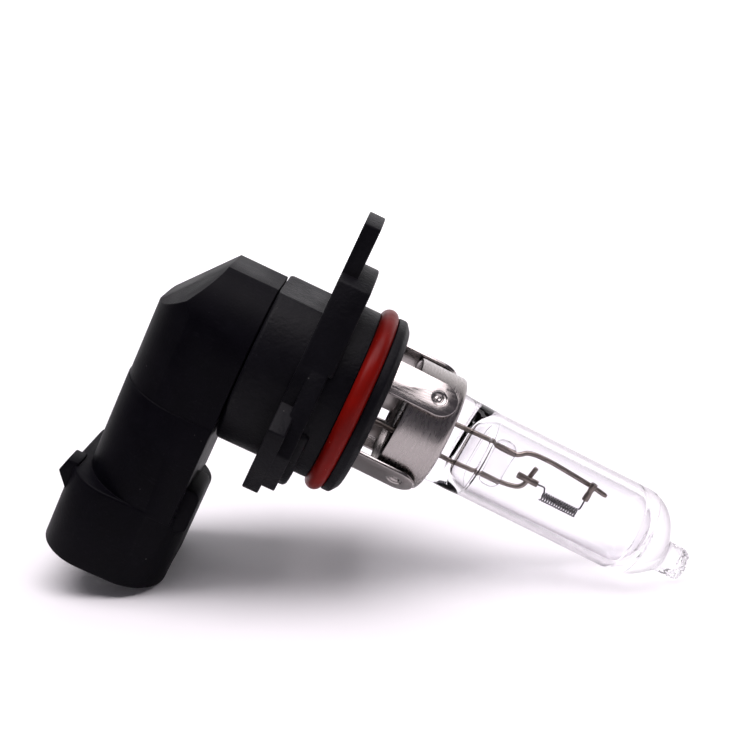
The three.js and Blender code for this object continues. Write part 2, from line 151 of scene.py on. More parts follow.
class BulbSizes(bpy.types.PropertyGroup):
    collar_radius: bpy.props.FloatProperty(
        name="Collar radius", description="Radius of the base's collar", default=0.0098, unit="LENGTH")
    lug_reach: bpy.props.FloatProperty(
        name="Lug reach", description="How far the two lower lugs stand from the axis",
        default=0.0139, unit="LENGTH")
    long_lug_reach: bpy.props.FloatProperty(
        name="Long lug reach", description="How far the upper lug stands from the axis",
        default=0.0192, unit="LENGTH")
    ring_radius: bpy.props.FloatProperty(
        name="Ring radius", description="Centre circle of the sealing ring", default=0.0097, unit="LENGTH")
    ring_section: bpy.props.FloatProperty(
        name="Ring section", description="Radius of the sealing ring's section",
        default=0.001, unit="LENGTH")
    tube_radius: bpy.props.FloatProperty(
        name="Tube radius", description="Outer radius of the glass tube", default=0.00505, unit="LENGTH")
    tube_wall: bpy.props.FloatProperty(
        name="Tube wall", description="Thickness of the glass", default=0.00095, unit="LENGTH")
    light_centre: bpy.props.FloatProperty(
        name="Light centre", description="Middle of the filament along the bulb",
        default=0.0313, unit="LENGTH")
    coil_length: bpy.props.FloatProperty(
        name="Coil length", description="Length of the wound filament", default=0.0044, unit="LENGTH")
    coil_radius: bpy.props.FloatProperty(
        name="Coil radius", description="Radius of the wound filament", default=0.0005, unit="LENGTH")
    coil_turns: bpy.props.IntProperty(
        name="Coil turns", description="Turns in the wound filament", default=15, min=4, max=40)
    tongue_count: bpy.props.IntProperty(
        name="Tongues", description="Steel tongues round the sleeve", default=4, min=2, max=8)


class BulbColours(bpy.types.PropertyGroup):
    plastic: bpy.props.FloatVectorProperty(
        name="Plastic", description="Base and connector", subtype="COLOR", size=3,
        default=(0.0009, 0.0007, 0.0019))
    rubber: bpy.props.FloatVectorProperty(
        name="Rubber", description="Sealing ring", subtype="COLOR", size=3, default=(0.19, 0.0040, 0.0020))
    steel: bpy.props.FloatVectorProperty(
        name="Steel", description="Tongues and sleeve", subtype="COLOR", size=3,
        default=(0.40, 0.37, 0.36))
    # Round the upper welds a weld mark; over the lower tongues this near-black is painted shade for the
    # shadowed floor they reflect.
    weld_and_shade_tint: bpy.props.FloatVectorProperty(
        name="Weld and shade tint", description="Colour round the welds", subtype="COLOR", size=3,
        default=(0.030, 0.024, 0.027))
    # Painted shade: the near-black band on the sleeve just below the upper tongues, standing in for shadow
    # and dark reflection there.
    painted_sleeve_shade: bpy.props.FloatVectorProperty(
        name="Painted sleeve shade", description="Sleeve beside the upper welds", subtype="COLOR", size=3,
        default=(0.008, 0.008, 0.007))
    wire: bpy.props.FloatVectorProperty(
        name="Wire", description="Leads and crimp tubes", subtype="COLOR", size=3,
        default=(0.289, 0.246, 0.221))
    tungsten: bpy.props.FloatVectorProperty(
        name="Tungsten", description="Filament", subtype="COLOR", size=3, default=(0.119, 0.112, 0.119))
    glass: bpy.props.FloatVectorProperty(
        name="Glass", description="Capsule", subtype="COLOR", size=3, default=(0.975, 0.970, 0.985))


def sizes():
    return bpy.context.scene.bulb_sizes


def colours():
    return bpy.context.scene.bulb_colours


# ---------------------------------------------------------------- mesh helpers

def circle(x, radius, sides):
    """Points of a ring across the bulb's axis at x."""
    step = 2 * math.pi / sides
    return [Vector((x, radius * math.cos(step * i), radius * math.sin(step * i))) for i in range(sides)]


def loft(rings, closed=False):
    """A skin over rings with equal point counts. A ring of one point is a pole; else ends are capped."""
    bm = bmesh.new()
    rows = [[bm.verts.new(p) for p in ring] for ring in rings]
    pairs = list(zip(rows, rows[1:]))
    if closed:
        pairs.append((rows[-1], rows[0]))
    for a, b in pairs:
        count = max(len(a), len(b))
        for i in range(count):
            j = (i + 1) % count
            corners = [a[i % len(a)], a[j % len(a)], b[j % len(b)], b[i % len(b)]]
            unique = list(dict.fromkeys(corners))
            if len(unique) > 2:
                bm.faces.new(unique)
    if not closed:
        for row in (rows[0], rows[-1]):
            if len(row) > 2:
                bm.faces.new(row)
    bmesh.ops.recalc_face_normals(bm, faces=bm.faces)
    return bm


def lathe(profile, sides=128, closed=False):
    """A profile of (x, radius) points turned about the bulb's axis."""
    rings = [circle(x, r, sides) if r > 1e-6 else [Vector((x, 0, 0))] for x, r in profile]
    return loft(rings, closed)


def rounded_profile(points, radius=0.18, steps=3):
    """The same profile with its corners rounded, apart from its two ends."""
    out = [points[0]]
    for before, corner, after in zip(points, points[1:], points[2:]):
        p, a, b = Vector(corner), Vector(before), Vector(after)
        reach = min(radius, (a - p).length * 0.45, (b - p).length * 0.45)
        start = p + (a - p).normalized() * reach
        end = p + (b - p).normalized() * reach
        for i in range(steps + 1):
            t = i / steps
            q = start * (1 - t) ** 2 + p * 2 * t * (1 - t) + end * t * t
            out.append((q.x, q.y))
    out.append(points[-1])
    return out


def prism(outline, axis, low, high, bevel=0.0, segments=2):
    """A flat outline drawn out along an axis: (y, z) along x, (x, z) along y or (x, y) along z."""
    place = {"x": lambda a, b, h: (h, a, b),
             "y": lambda a, b, h: (a, h, b),
             "z": lambda a, b, h: (a, b, h)}[axis]
    bm = loft([[Vector(place(a, b, h)) for a, b in outline] for h in (low, high)])
    if bevel:
        round_edges(bm, bevel, segments)
    return bm


def round_edges(bm, width, segments=2):
    """Rounds every edge sharper than 35 degrees."""
    limit = math.radians(35.0)
    edges = [e for e in bm.edges if len(e.link_faces) == 2 and e.calc_face_angle(0) > limit]
    bmesh.ops.bevel(bm, geom=edges, offset=width, segments=segments, affect="EDGES", profile=0.5,
                    clamp_overlap=True)


def arc(centre, radius, start, end, steps):
    """Points of an arc, with angles in degrees."""
    return [(centre[0] + radius * math.cos(math.radians(start + (end - start) * i / steps)),
             centre[1] + radius * math.sin(math.radians(start + (end - start) * i / steps)))
            for i in range(steps + 1)]


def rounded_box(low, high, radius, steps=8):
    """Outline of a rectangle with round corners."""
    (a0, b0), (a1, b1) = low, high
    corners = (((a1 - radius, b1 - radius), 0), ((a0 + radius, b1 - radius), 90),
               ((a0 + radius, b0 + radius), 180), ((a1 - radius, b0 + radius), 270))
    return [p for centre, start in corners for p in arc(centre, radius, start, start + 90, steps)]


def box(low, high, bevel=0.0):
    (x0, y0, z0), (x1, y1, z1) = low, high
    return prism([(x0, y0), (x1, y0), (x1, y1), (x0, y1)], "z", z0, z1, bevel)


def moved(bm, matrix):
    bmesh.ops.transform(bm, matrix=matrix, verts=bm.verts)
    return bm


def joined(*bms):
    """Several loose shapes as one bmesh."""
    out = bmesh.new()
    for bm in bms:
        mesh = bpy.data.meshes.new("part")
        bm.to_mesh(mesh)
        bm.free()
        out.from_mesh(mesh)
        bpy.data.meshes.remove(mesh)
    return out


def temp_object(bm):
    mesh = bpy.data.meshes.new("temp")
    bm.to_mesh(mesh)
    bm.free()
    ob = bpy.data.objects.new("temp", mesh)
    bpy.context.scene.collection.objects.link(ob)
    return ob


def evaluated_mesh(ob):
    """The mesh an object has once its modifiers have run."""
    bpy.context.view_layer.update()
    graph = bpy.context.evaluated_depsgraph_get()
    return bpy.data.meshes.new_from_object(ob.evaluated_get(graph), depsgraph=graph)


def carved(base, steps):
    """The base shape with each (operation, shape) step applied exactly, as one bmesh."""
    body = temp_object(base)
    tools = []
    for operation, shape in steps:
        tool = temp_object(shape)
        tools.append(tool)
        modifier = body.modifiers.new(operation, "BOOLEAN")
        modifier.operation = operation
        modifier.solver = "EXACT"
        modifier.object = tool
    mesh = evaluated_mesh(body)
    bm = bmesh.new()
    bm.from_mesh(mesh)
    bmesh.ops.remove_doubles(bm, verts=bm.verts, dist=1e-4)
    bmesh.ops.dissolve_degenerate(bm, dist=1e-4, edges=bm.edges)
    bpy.data.meshes.remove(mesh)
    for ob in [body, *tools]:
        bpy.data.objects.remove(ob)
    return bm


def spline_value(p0, p1, p2, p3, t):
    """A Catmull-Rom value, number or vector, between p1 and p2."""
    return 0.5 * (2 * p1 + (p2 - p0) * t + (2 * p0 - 5 * p1 + 4 * p2 - p3) * t * t
                  + (3 * p1 - p0 - 3 * p2 + p3) * t ** 3)


def smooth_line(points, steps):
    """A smooth line through the given points."""
    pts = [Vector(p) for p in points]
    pts = [2 * pts[0] - pts[1], *pts, 2 * pts[-1] - pts[-2]]
    out = []
    for i in range(1, len(pts) - 2):
        out += [spline_value(*pts[i - 1:i + 3], k / steps) for k in range(steps)]
    out.append(pts[-2])
    return out


def swept(points, radius, sides=20):
    """A round wire along a line of points, its ends slightly rounded."""
    rings = []
    side = Vector((0, 1, 0))
    for i, p in enumerate(points):
        a = points[max(i - 1, 0)]
        b = points[min(i + 1, len(points) - 1)]
        along = (b - a).normalized()
        side = (side - along * side.dot(along)).normalized()
        other = along.cross(side)
        r = radius * WIRE_END_SHARE if i in (0, len(points) - 1) else radius
        rings.append([p + side * (r * math.cos(2 * math.pi * k / sides))
                      + other * (r * math.sin(2 * math.pi * k / sides)) for k in range(sides)])
    return loft(rings)


def finish_piece(name, bm, material, nodes, matrix, angle=32.0):
    """Lays a shape in the frame, shades it and hangs it under the root body in place of its CAD nodes, which
    it hides.
    """
    mesh = bpy.data.meshes.new(name)
    bm.to_mesh(mesh)
    bm.free()
    return finish_mesh(name, mesh, material, nodes, matrix, angle)


def finish_mesh(name, mesh, material, nodes, matrix, angle=32.0):
    """The same for a mesh: faces are smooth, and edges sharper than the angle stay sharp."""
    mesh.name = name
    mesh.transform(matrix)
    bm = bmesh.new()
    bm.from_mesh(mesh)
    limit = math.radians(angle)
    for face in bm.faces:
        face.smooth = True
    for edge in bm.edges:
        edge.smooth = len(edge.link_faces) == 2 and edge.calc_face_angle(0) < limit
    bm.to_mesh(mesh)
    bm.free()
    mesh.materials.clear()
    mesh.materials.append(material)
    ob = bpy.data.objects.new(name, mesh)
    bpy.context.scene.collection.objects.link(ob)
    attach(ob, "root")
    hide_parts(*nodes)
    return ob


# ---------------------------------------------------------------- shader groups

def new_group(name, inputs, outputs):
    """An empty shader group with its sockets."""
    tree = bpy.data.node_groups.new(name, "ShaderNodeTree")
    for label, kind, default in inputs:
        socket = tree.interface.new_socket(label, in_out="INPUT", socket_type=kind)
        if default is not None:
            socket.default_value = default
    for label, kind in outputs:
        tree.interface.new_socket(label, in_out="OUTPUT", socket_type=kind)
    return tree, tree.nodes.new("NodeGroupInput"), tree.nodes.new("NodeGroupOutput")


def add(tree, kind, inputs=None, **settings):
    """A node with its settings and inputs, where an input is a value or another node's socket."""
    node = tree.nodes.new(kind)
    for key, value in settings.items():
        setattr(node, key, value)
    for key, value in (inputs or {}).items():
        if isinstance(value, bpy.types.NodeSocket):
            tree.links.new(value, node.inputs[key])
        else:
            node.inputs[key].default_value = value
    return node


def ramp(tree, source, low, high, out_low=0.0, out_high=1.0):
    """Maps a value from one range to another, held at both ends."""
    node = add(tree, "ShaderNodeMapRange", {"From Min": low, "From Max": high, "To Min": out_low,
                                            "To Max": out_high})
    tree.links.new(source, node.inputs["Value"])
    return node.outputs["Result"]


def mix_colour(tree, factor, a, b):
    """A colour between a and b, each a colour or a socket."""
    node = add(tree, "ShaderNodeMix", data_type="RGBA")
    for index, value in ((0, factor), (6, a), (7, b)):
        if isinstance(value, bpy.types.NodeSocket):
            tree.links.new(value, node.inputs[index])
        elif index == 0:
            node.inputs[0].default_value = value
        else:
            node.inputs[index].default_value = (*value, 1.0)[:4]
    return node.outputs[2]


def grain_group():
    """Moulded grain: a fine height, and a slow mask for colour and gloss."""
    if "moulded_grain" in bpy.data.node_groups:
        return bpy.data.node_groups["moulded_grain"]
    tree, source, sink = new_group(
        "moulded_grain",
        [("Vector", "NodeSocketVector", None), ("Grain Scale", "NodeSocketFloat", 5200.0),
         ("Cloud Scale", "NodeSocketFloat", 260.0)],
        [("Height", "NodeSocketFloat"), ("Clouds", "NodeSocketFloat")])
    fine = add(tree, "ShaderNodeTexNoise", {"Vector": source.outputs["Vector"],
                                            "Scale": source.outputs["Grain Scale"],
                                            "Detail": 3.0, "Roughness": 0.62})
    clouds = add(tree, "ShaderNodeTexNoise", {"Vector": source.outputs["Vector"],
                                              "Scale": source.outputs["Cloud Scale"],
                                              "Detail": 5.0, "Roughness": 0.6})
    tree.links.new(fine.outputs["Fac"], sink.inputs["Height"])
    tree.links.new(ramp(tree, clouds.outputs["Fac"], 0.3, 0.7), sink.inputs["Clouds"])
    return tree


def scuff_group():
    """Rubbed marks: thin lines drawn along one direction, with gaps."""
    if "rubbed_marks" in bpy.data.node_groups:
        return bpy.data.node_groups["rubbed_marks"]
    tree, source, sink = new_group(
        "rubbed_marks",
        [("Vector", "NodeSocketVector", None), ("Stretch", "NodeSocketVector", (400.0, 9000.0, 9000.0)),
         ("Amount", "NodeSocketFloat", 0.5)],
        [("Lines", "NodeSocketFloat"), ("Marks", "NodeSocketFloat")])
    long_map = add(tree, "ShaderNodeVectorMath", {0: source.outputs["Vector"], 1: source.outputs["Stretch"]},
                   operation="MULTIPLY")
    lines = add(tree, "ShaderNodeTexNoise", {"Vector": long_map.outputs[0], "Scale": 1.0, "Detail": 2.0})
    patches = add(tree, "ShaderNodeTexNoise", {"Vector": source.outputs["Vector"], "Scale": 420.0,
                                               "Detail": 3.0})
    thin = ramp(tree, lines.outputs["Fac"], 0.56, 0.70)
    held = ramp(tree, patches.outputs["Fac"], 0.48, 0.62)
    both = add(tree, "ShaderNodeMath", {0: thin, 1: held}, operation="MULTIPLY")
    scaled = add(tree, "ShaderNodeMath", {0: both.outputs[0], 1: source.outputs["Amount"]},
                 operation="MULTIPLY")
    tree.links.new(lines.outputs["Fac"], sink.inputs["Lines"])
    tree.links.new(scaled.outputs[0], sink.inputs["Marks"])
    return tree


def speck_group():
    """Dust: small scattered dots."""
    if "dust_specks" in bpy.data.node_groups:
        return bpy.data.node_groups["dust_specks"]
    tree, source, sink = new_group(
        "dust_specks",
        [("Vector", "NodeSocketVector", None), ("Scale", "NodeSocketFloat", 900.0),
         ("Size", "NodeSocketFloat", 0.12)],
        [("Specks", "NodeSocketFloat")])
    cells = add(tree, "ShaderNodeTexVoronoi", {"Vector": source.outputs["Vector"],
                                               "Scale": source.outputs["Scale"]})
    spread = add(tree, "ShaderNodeTexNoise", {"Vector": source.outputs["Vector"], "Scale": 330.0})
    size = add(tree, "ShaderNodeMath", {0: source.outputs["Size"],
                                        1: ramp(tree, spread.outputs["Fac"], 0.5, 0.75)},
               operation="MULTIPLY")
    dot = add(tree, "ShaderNodeMath", {0: cells.outputs["Distance"], 1: size.outputs[0]},
              operation="LESS_THAN")
    tree.links.new(dot.outputs[0], sink.inputs["Specks"])
    return tree


def place_group(tree, group, inputs):
    return add(tree, "ShaderNodeGroup", inputs, node_tree=group)


# ---------------------------------------------------------------- materials

def blank_material(name, **sockets):
    """A material with its Principled shader, plain values set on the shader itself."""
    material = bpy.data.materials.new(name)
    material.use_nodes = True
    tree = material.node_tree
    shader = tree.nodes["Principled BSDF"]
    for key, value in sockets.items():
        shader.inputs[key.replace("_", " ")].default_value = value
    where = add(tree, "ShaderNodeTexCoord").outputs["Object"]
    return material, tree, shader, where


def bulb_axes(tree, where):
    """Object coordinates turned so that x runs along the bulb."""
    node = add(tree, "ShaderNodeMapping", {"Vector": where, "Rotation": (0.0, -LEAN, 0.0)},
               vector_type="POINT")
    return node.outputs["Vector"]


def bump(tree, shader, height, strength, distance, radius=0.0):
    """A height on the shader's normal, over edges rounded to the radius."""
    inputs = {"Height": height, "Strength": strength, "Distance": distance}
    if radius:
        inputs["Normal"] = add(tree, "ShaderNodeBevel", {"Radius": radius}, samples=6).outputs["Normal"]
    node = add(tree, "ShaderNodeBump", inputs)
    tree.links.new(node.outputs["Normal"], shader.inputs["Normal"])


def plastic_material(name, grain, scale, roughness, shine):
    """Black moulded plastic with a fine grain, rubbed marks and a little dust."""
    material, tree, shader, where = blank_material(name, Specular_IOR_Level=shine)
    body = place_group(tree, grain_group(), {"Vector": where, "Grain Scale": scale})
    marks = place_group(tree, scuff_group(), {"Vector": bulb_axes(tree, where), "Amount": 0.5,
                                              "Stretch": (900.0, 5200.0, 5200.0)})
    specks = place_group(tree, speck_group(), {"Vector": where})
    base = colours().plastic
    lighter = [c * 1.7 + 0.001 for c in base]
    tone = mix_colour(tree, body.outputs["Clouds"], base, lighter)
    tone = mix_colour(tree, marks.outputs["Marks"], tone, (0.006, 0.0055, 0.008))
    tone = mix_colour(tree, specks.outputs["Specks"], tone, (0.05, 0.048, 0.048))
    tree.links.new(tone, shader.inputs["Base Color"])
    gloss = ramp(tree, body.outputs["Clouds"], 0.0, 1.0, roughness - 0.05, roughness + 0.07)
    tree.links.new(gloss, shader.inputs["Roughness"])
    bump(tree, shader, body.outputs["Height"], grain, 0.00007, 0.00014)
    return material


def rubber_material():
    """Red rubber, slightly clouded and dusty."""
    material, tree, shader, where = blank_material("red_rubber", Specular_IOR_Level=0.10)
    body = place_group(tree, grain_group(), {"Vector": where, "Grain Scale": 3600.0, "Cloud Scale": 420.0})
    specks = place_group(tree, speck_group(), {"Vector": where, "Scale": 1300.0, "Size": 0.2})
    base = colours().rubber
    tone = mix_colour(tree, body.outputs["Clouds"], base, [c * 0.72 for c in base])
    tone = mix_colour(tree, specks.outputs["Specks"], tone, (0.45, 0.14, 0.10))
    tree.links.new(tone, shader.inputs["Base Color"])
    tree.links.new(ramp(tree, body.outputs["Clouds"], 0.0, 1.0, 0.30, 0.46), shader.inputs["Roughness"])
    bump(tree, shader, body.outputs["Height"], 0.25, 0.00004)
    return material


def steel_material(name, roughness, stretch, tint_amount, tint, lines=0.16):
    """Stamped steel, drawn along one direction, tinted by a value on its vertices: a real weld mark by the
    upper tongue welds, painted shade over the lower tongues and on the sleeve.
    """
    material, tree, shader, where = blank_material(name, Metallic=1.0)
    along = bulb_axes(tree, where)
    marks = place_group(tree, scuff_group(), {"Vector": along, "Stretch": stretch, "Amount": 0.7})
    body = place_group(tree, grain_group(), {"Vector": where, "Grain Scale": 2600.0, "Cloud Scale": 330.0})
    heat = add(tree, "ShaderNodeAttribute", attribute_name="heat").outputs["Fac"]
    base = colours().steel
    tone = mix_colour(tree, body.outputs["Clouds"], base, [c * 0.86 for c in base])
    # Painted shade and weld mark: the vertex value mixes the base colour towards the tint.
    tint_share = add(tree, "ShaderNodeMath", {0: heat, 1: tint_amount}, operation="MULTIPLY")
    tone = mix_colour(tree, tint_share.outputs[0], tone, tint)
    tree.links.new(tone, shader.inputs["Base Color"])
    gloss = ramp(tree, marks.outputs["Lines"], 0.3, 0.7, roughness - 0.05, roughness + 0.09)
    tree.links.new(gloss, shader.inputs["Roughness"])
    bump(tree, shader, marks.outputs["Lines"], lines, 0.00003, 0.00008)
    return material


def wire_material(name, colour, roughness):
    """Drawn wire with duller patches."""
    material, tree, shader, where = blank_material(name, Metallic=1.0)
    body = place_group(tree, grain_group(), {"Vector": where, "Grain Scale": 5000.0, "Cloud Scale": 800.0})
    tone = mix_colour(tree, body.outputs["Clouds"], colour, [c * 0.6 for c in colour])
    tree.links.new(tone, shader.inputs["Base Color"])
    tree.links.new(ramp(tree, body.outputs["Clouds"], 0.0, 1.0, roughness - 0.08, roughness + 0.1),
                   shader.inputs["Roughness"])
    bump(tree, shader, body.outputs["Height"], 0.2, 0.00002)
    return material


def compound_material():
    """Grey cast compound."""
    material, tree, shader, where = blank_material("sealing_compound")
    body = place_group(tree, grain_group(), {"Vector": where, "Grain Scale": 1500.0, "Cloud Scale": 300.0})
    tone = mix_colour(tree, body.outputs["Clouds"], (0.045, 0.045, 0.048), (0.075, 0.074, 0.076))
    tree.links.new(tone, shader.inputs["Base Color"])
    tree.links.new(ramp(tree, body.outputs["Clouds"], 0.0, 1.0, 0.55, 0.75), shader.inputs["Roughness"])
    bump(tree, shader, body.outputs["Height"], 0.4, 0.00008)
    return material


def glass_material(name, roughness, lets_light, index, edge, outer_shade_share):
    """Clear glass with painted shade where it is seen edge on, standing in for darker surroundings seen
    through the walls: the outer skin by its share, the inner one fully.

    Its shadow is lighter than the shader alone would give.
    """
    material, tree, shader, where = blank_material(name, Metallic=0.0, IOR=index, Roughness=roughness)
    shader.inputs["Transmission Weight"].default_value = 1.0
    body = place_group(tree, grain_group(), {"Vector": where, "Grain Scale": 700.0, "Cloud Scale": 180.0})
    base = colours().glass
    tone = mix_colour(tree, body.outputs["Clouds"], base, [c * 0.985 for c in base])
    facing = add(tree, "ShaderNodeLayerWeight", {"Blend": 0.5}).outputs["Facing"]
    inside = add(tree, "ShaderNodeAttribute", attribute_name="inside").outputs["Fac"]
    # Painted shade on the edge-on walls, mixed into the base colour.
    wall = add(tree, "ShaderNodeMath", {0: ramp(tree, facing, 0.62, 1.0), 1: inside}, operation="MULTIPLY")
    rim = ramp(tree, facing, 0.38, 0.78, 0.0, outer_shade_share)
    share = add(tree, "ShaderNodeMath", {0: wall.outputs[0], 1: rim}, operation="MAXIMUM")
    tone = mix_colour(tree, share.outputs[0], tone, edge)
    tree.links.new(tone, shader.inputs["Base Color"])
    bump(tree, shader, body.outputs["Height"], 0.05, 0.00004)
    clear = add(tree, "ShaderNodeBsdfTransparent", {"Color": (lets_light, lets_light, lets_light, 1.0)})
    path = add(tree, "ShaderNodeLightPath")
    pick = add(tree, "ShaderNodeMixShader", {0: path.outputs["Is Shadow Ray"],
                                             1: shader.outputs["BSDF"], 2: clear.outputs["BSDF"]})
    tree.links.new(pick.outputs["Shader"], tree.nodes["Material Output"].inputs["Surface"])
    return material


# ---------------------------------------------------------------- geometry node trees

def new_geometry_tree(name, inputs):
    tree = bpy.data.node_groups.new(name, "GeometryNodeTree")
    tree.interface.new_socket("Geometry", in_out="INPUT", socket_type="NodeSocketGeometry")
    for label, kind, default in inputs:
        socket = tree.interface.new_socket(label, in_out="INPUT", socket_type=kind)
        if default is not None:
            socket.default_value = default
    tree.interface.new_socket("Geometry", in_out="OUTPUT", socket_type="NodeSocketGeometry")
    return tree, tree.nodes.new("NodeGroupInput"), tree.nodes.new("NodeGroupOutput")


def close_geometry_tree(tree, geometry, sink, material):
    real = add(tree, "GeometryNodeRealizeInstances", {0: geometry})
    painted = add(tree, "GeometryNodeSetMaterial", {"Geometry": real.outputs[0], "Material": material})
    tree.links.new(painted.outputs[0], sink.inputs[0])


def run_geometry_tree(tree, start, values):
    """Runs a tree on a start mesh and gives the plain mesh it makes."""
    ob = temp_object(start)
    modifier = ob.modifiers.new("Nodes", "NODES")
    modifier.node_group = tree
    for item in tree.interface.items_tree:
        if item.item_type == "SOCKET" and item.in_out == "INPUT" and item.name in values:
            modifier[item.identifier] = values[item.name]
    mesh = evaluated_mesh(ob)
    bpy.data.objects.remove(ob)
    return mesh


def coil_tree(material):
    """A wound wire along x: a spiral curve given a round section."""
    tree, source, sink = new_geometry_tree("wound_filament", [
        ("Turns", "NodeSocketFloat", 15.0), ("Coil Length", "NodeSocketFloat", 4.4),
        ("Coil Radius", "NodeSocketFloat", 0.5), ("Wire Radius", "NodeSocketFloat", 0.09),
        ("Steps per Turn", "NodeSocketInt", 28), ("Wire Sides", "NodeSocketInt", 10)])
    spiral = add(tree, "GeometryNodeCurveSpiral", {
        "Resolution": source.outputs["Steps per Turn"], "Rotations": source.outputs["Turns"],
        "Start Radius": source.outputs["Coil Radius"], "End Radius": source.outputs["Coil Radius"],
        "Height": source.outputs["Coil Length"]})
    turned = add(tree, "GeometryNodeTransform", {"Geometry": spiral.outputs["Curve"],
                                                 "Rotation": (0.0, math.pi / 2, 0.0)})
    section = add(tree, "GeometryNodeCurvePrimitiveCircle", {"Resolution": source.outputs["Wire Sides"],
                                                             "Radius": source.outputs["Wire Radius"]})
    wound = add(tree, "GeometryNodeCurveToMesh", {"Curve": turned.outputs["Geometry"],
                                                  "Profile Curve": section.outputs["Curve"],
                                                  "Fill Caps": True})
    close_geometry_tree(tree, wound.outputs["Mesh"], sink, material)
    return tree


def ring_tree(material):
    """A round ring across x, with a round section."""
    tree, source, sink = new_geometry_tree("sealing_ring", [
        ("Ring Radius", "NodeSocketFloat", 9.7), ("Section Radius", "NodeSocketFloat", 1.0)])
    path = add(tree, "GeometryNodeCurvePrimitiveCircle", {"Resolution": 144,
                                                          "Radius": source.outputs["Ring Radius"]})
    section = add(tree, "GeometryNodeCurvePrimitiveCircle", {"Resolution": 28,
                                                             "Radius": source.outputs["Section Radius"]})
    skin = add(tree, "GeometryNodeCurveToMesh", {"Curve": path.outputs["Curve"],
                                                 "Profile Curve": section.outputs["Curve"]})
    turned = add(tree, "GeometryNodeTransform", {"Geometry": skin.outputs["Mesh"],
                                                 "Rotation": (0.0, math.pi / 2, 0.0)})
    close_geometry_tree(tree, turned.outputs["Geometry"], sink, material)
    return tree


def round_the_axis_tree(material):
    """Copies of the start shape spaced evenly round x."""
    tree, source, sink = new_geometry_tree("round_the_axis", [
        ("Count", "NodeSocketInt", 4), ("First Angle", "NodeSocketFloat", math.pi / 4)])
    points = add(tree, "GeometryNodePoints", {"Count": source.outputs["Count"]})
    index = add(tree, "GeometryNodeInputIndex").outputs[0]
    share = add(tree, "ShaderNodeMath", {0: 2 * math.pi, 1: source.outputs["Count"]}, operation="DIVIDE")
    angle = add(tree, "ShaderNodeMath", {0: index, 1: share.outputs[0], 2: source.outputs["First Angle"]},
                operation="MULTIPLY_ADD")
    vector = add(tree, "ShaderNodeCombineXYZ", {"X": angle.outputs[0]})
    turn = add(tree, "FunctionNodeEulerToRotation", {0: vector.outputs[0]})
    copies = add(tree, "GeometryNodeInstanceOnPoints", {"Points": points.outputs[0],
                                                        "Instance": source.outputs["Geometry"],
                                                        "Rotation": turn.outputs[0]})
    close_geometry_tree(tree, copies.outputs["Instances"], sink, material)
    return tree


# ---------------------------------------------------------------- base and connector

def lobe(middle, half, outer, disc):
    """Outline in (y, z) of a rim lobe: an outer arc with flanks running down to the disc."""
    flank = math.degrees(math.acos(disc / outer))
    points = arc((0, 0), outer, middle - half, middle + half, 14)
    for angle in (middle + half + flank, middle - half - flank):
        a = math.radians(angle)
        points.append((disc * math.cos(a), disc * math.sin(a)))
        if len(points) == 16:
            points.append((0.0, 0.0))
    return points


def lug_plate(half, outer):
    """Outline in (y, z) of a lug with parallel sides, pointing along z."""
    edge = math.degrees(math.atan2(math.sqrt(outer ** 2 - half ** 2), half))
    return [(-half, 2.0), (half, 2.0), *arc((0, 0), outer, edge, 180 - edge, 12)]


def tongue_slot(turn):
    """The slot in the nose that a tongue passes through."""
    low = (TONGUE_START - 0.2, -2.3, SLEEVE_R - 0.1)
    high = (NOSE_FRONT + 1, 2.3, SLEEVE_R + 0.9)
    lean = (Matrix.Translation((CAPSULE_PIVOT_X, 0, CAPSULE_LIFT)) @ Matrix.Rotation(CAPSULE_TILT, 4, "Y")
            @ Matrix.Translation((-CAPSULE_PIVOT_X, 0, 0)) @ Matrix.Rotation(turn, 4, "X"))
    return moved(box(low, high), lean)


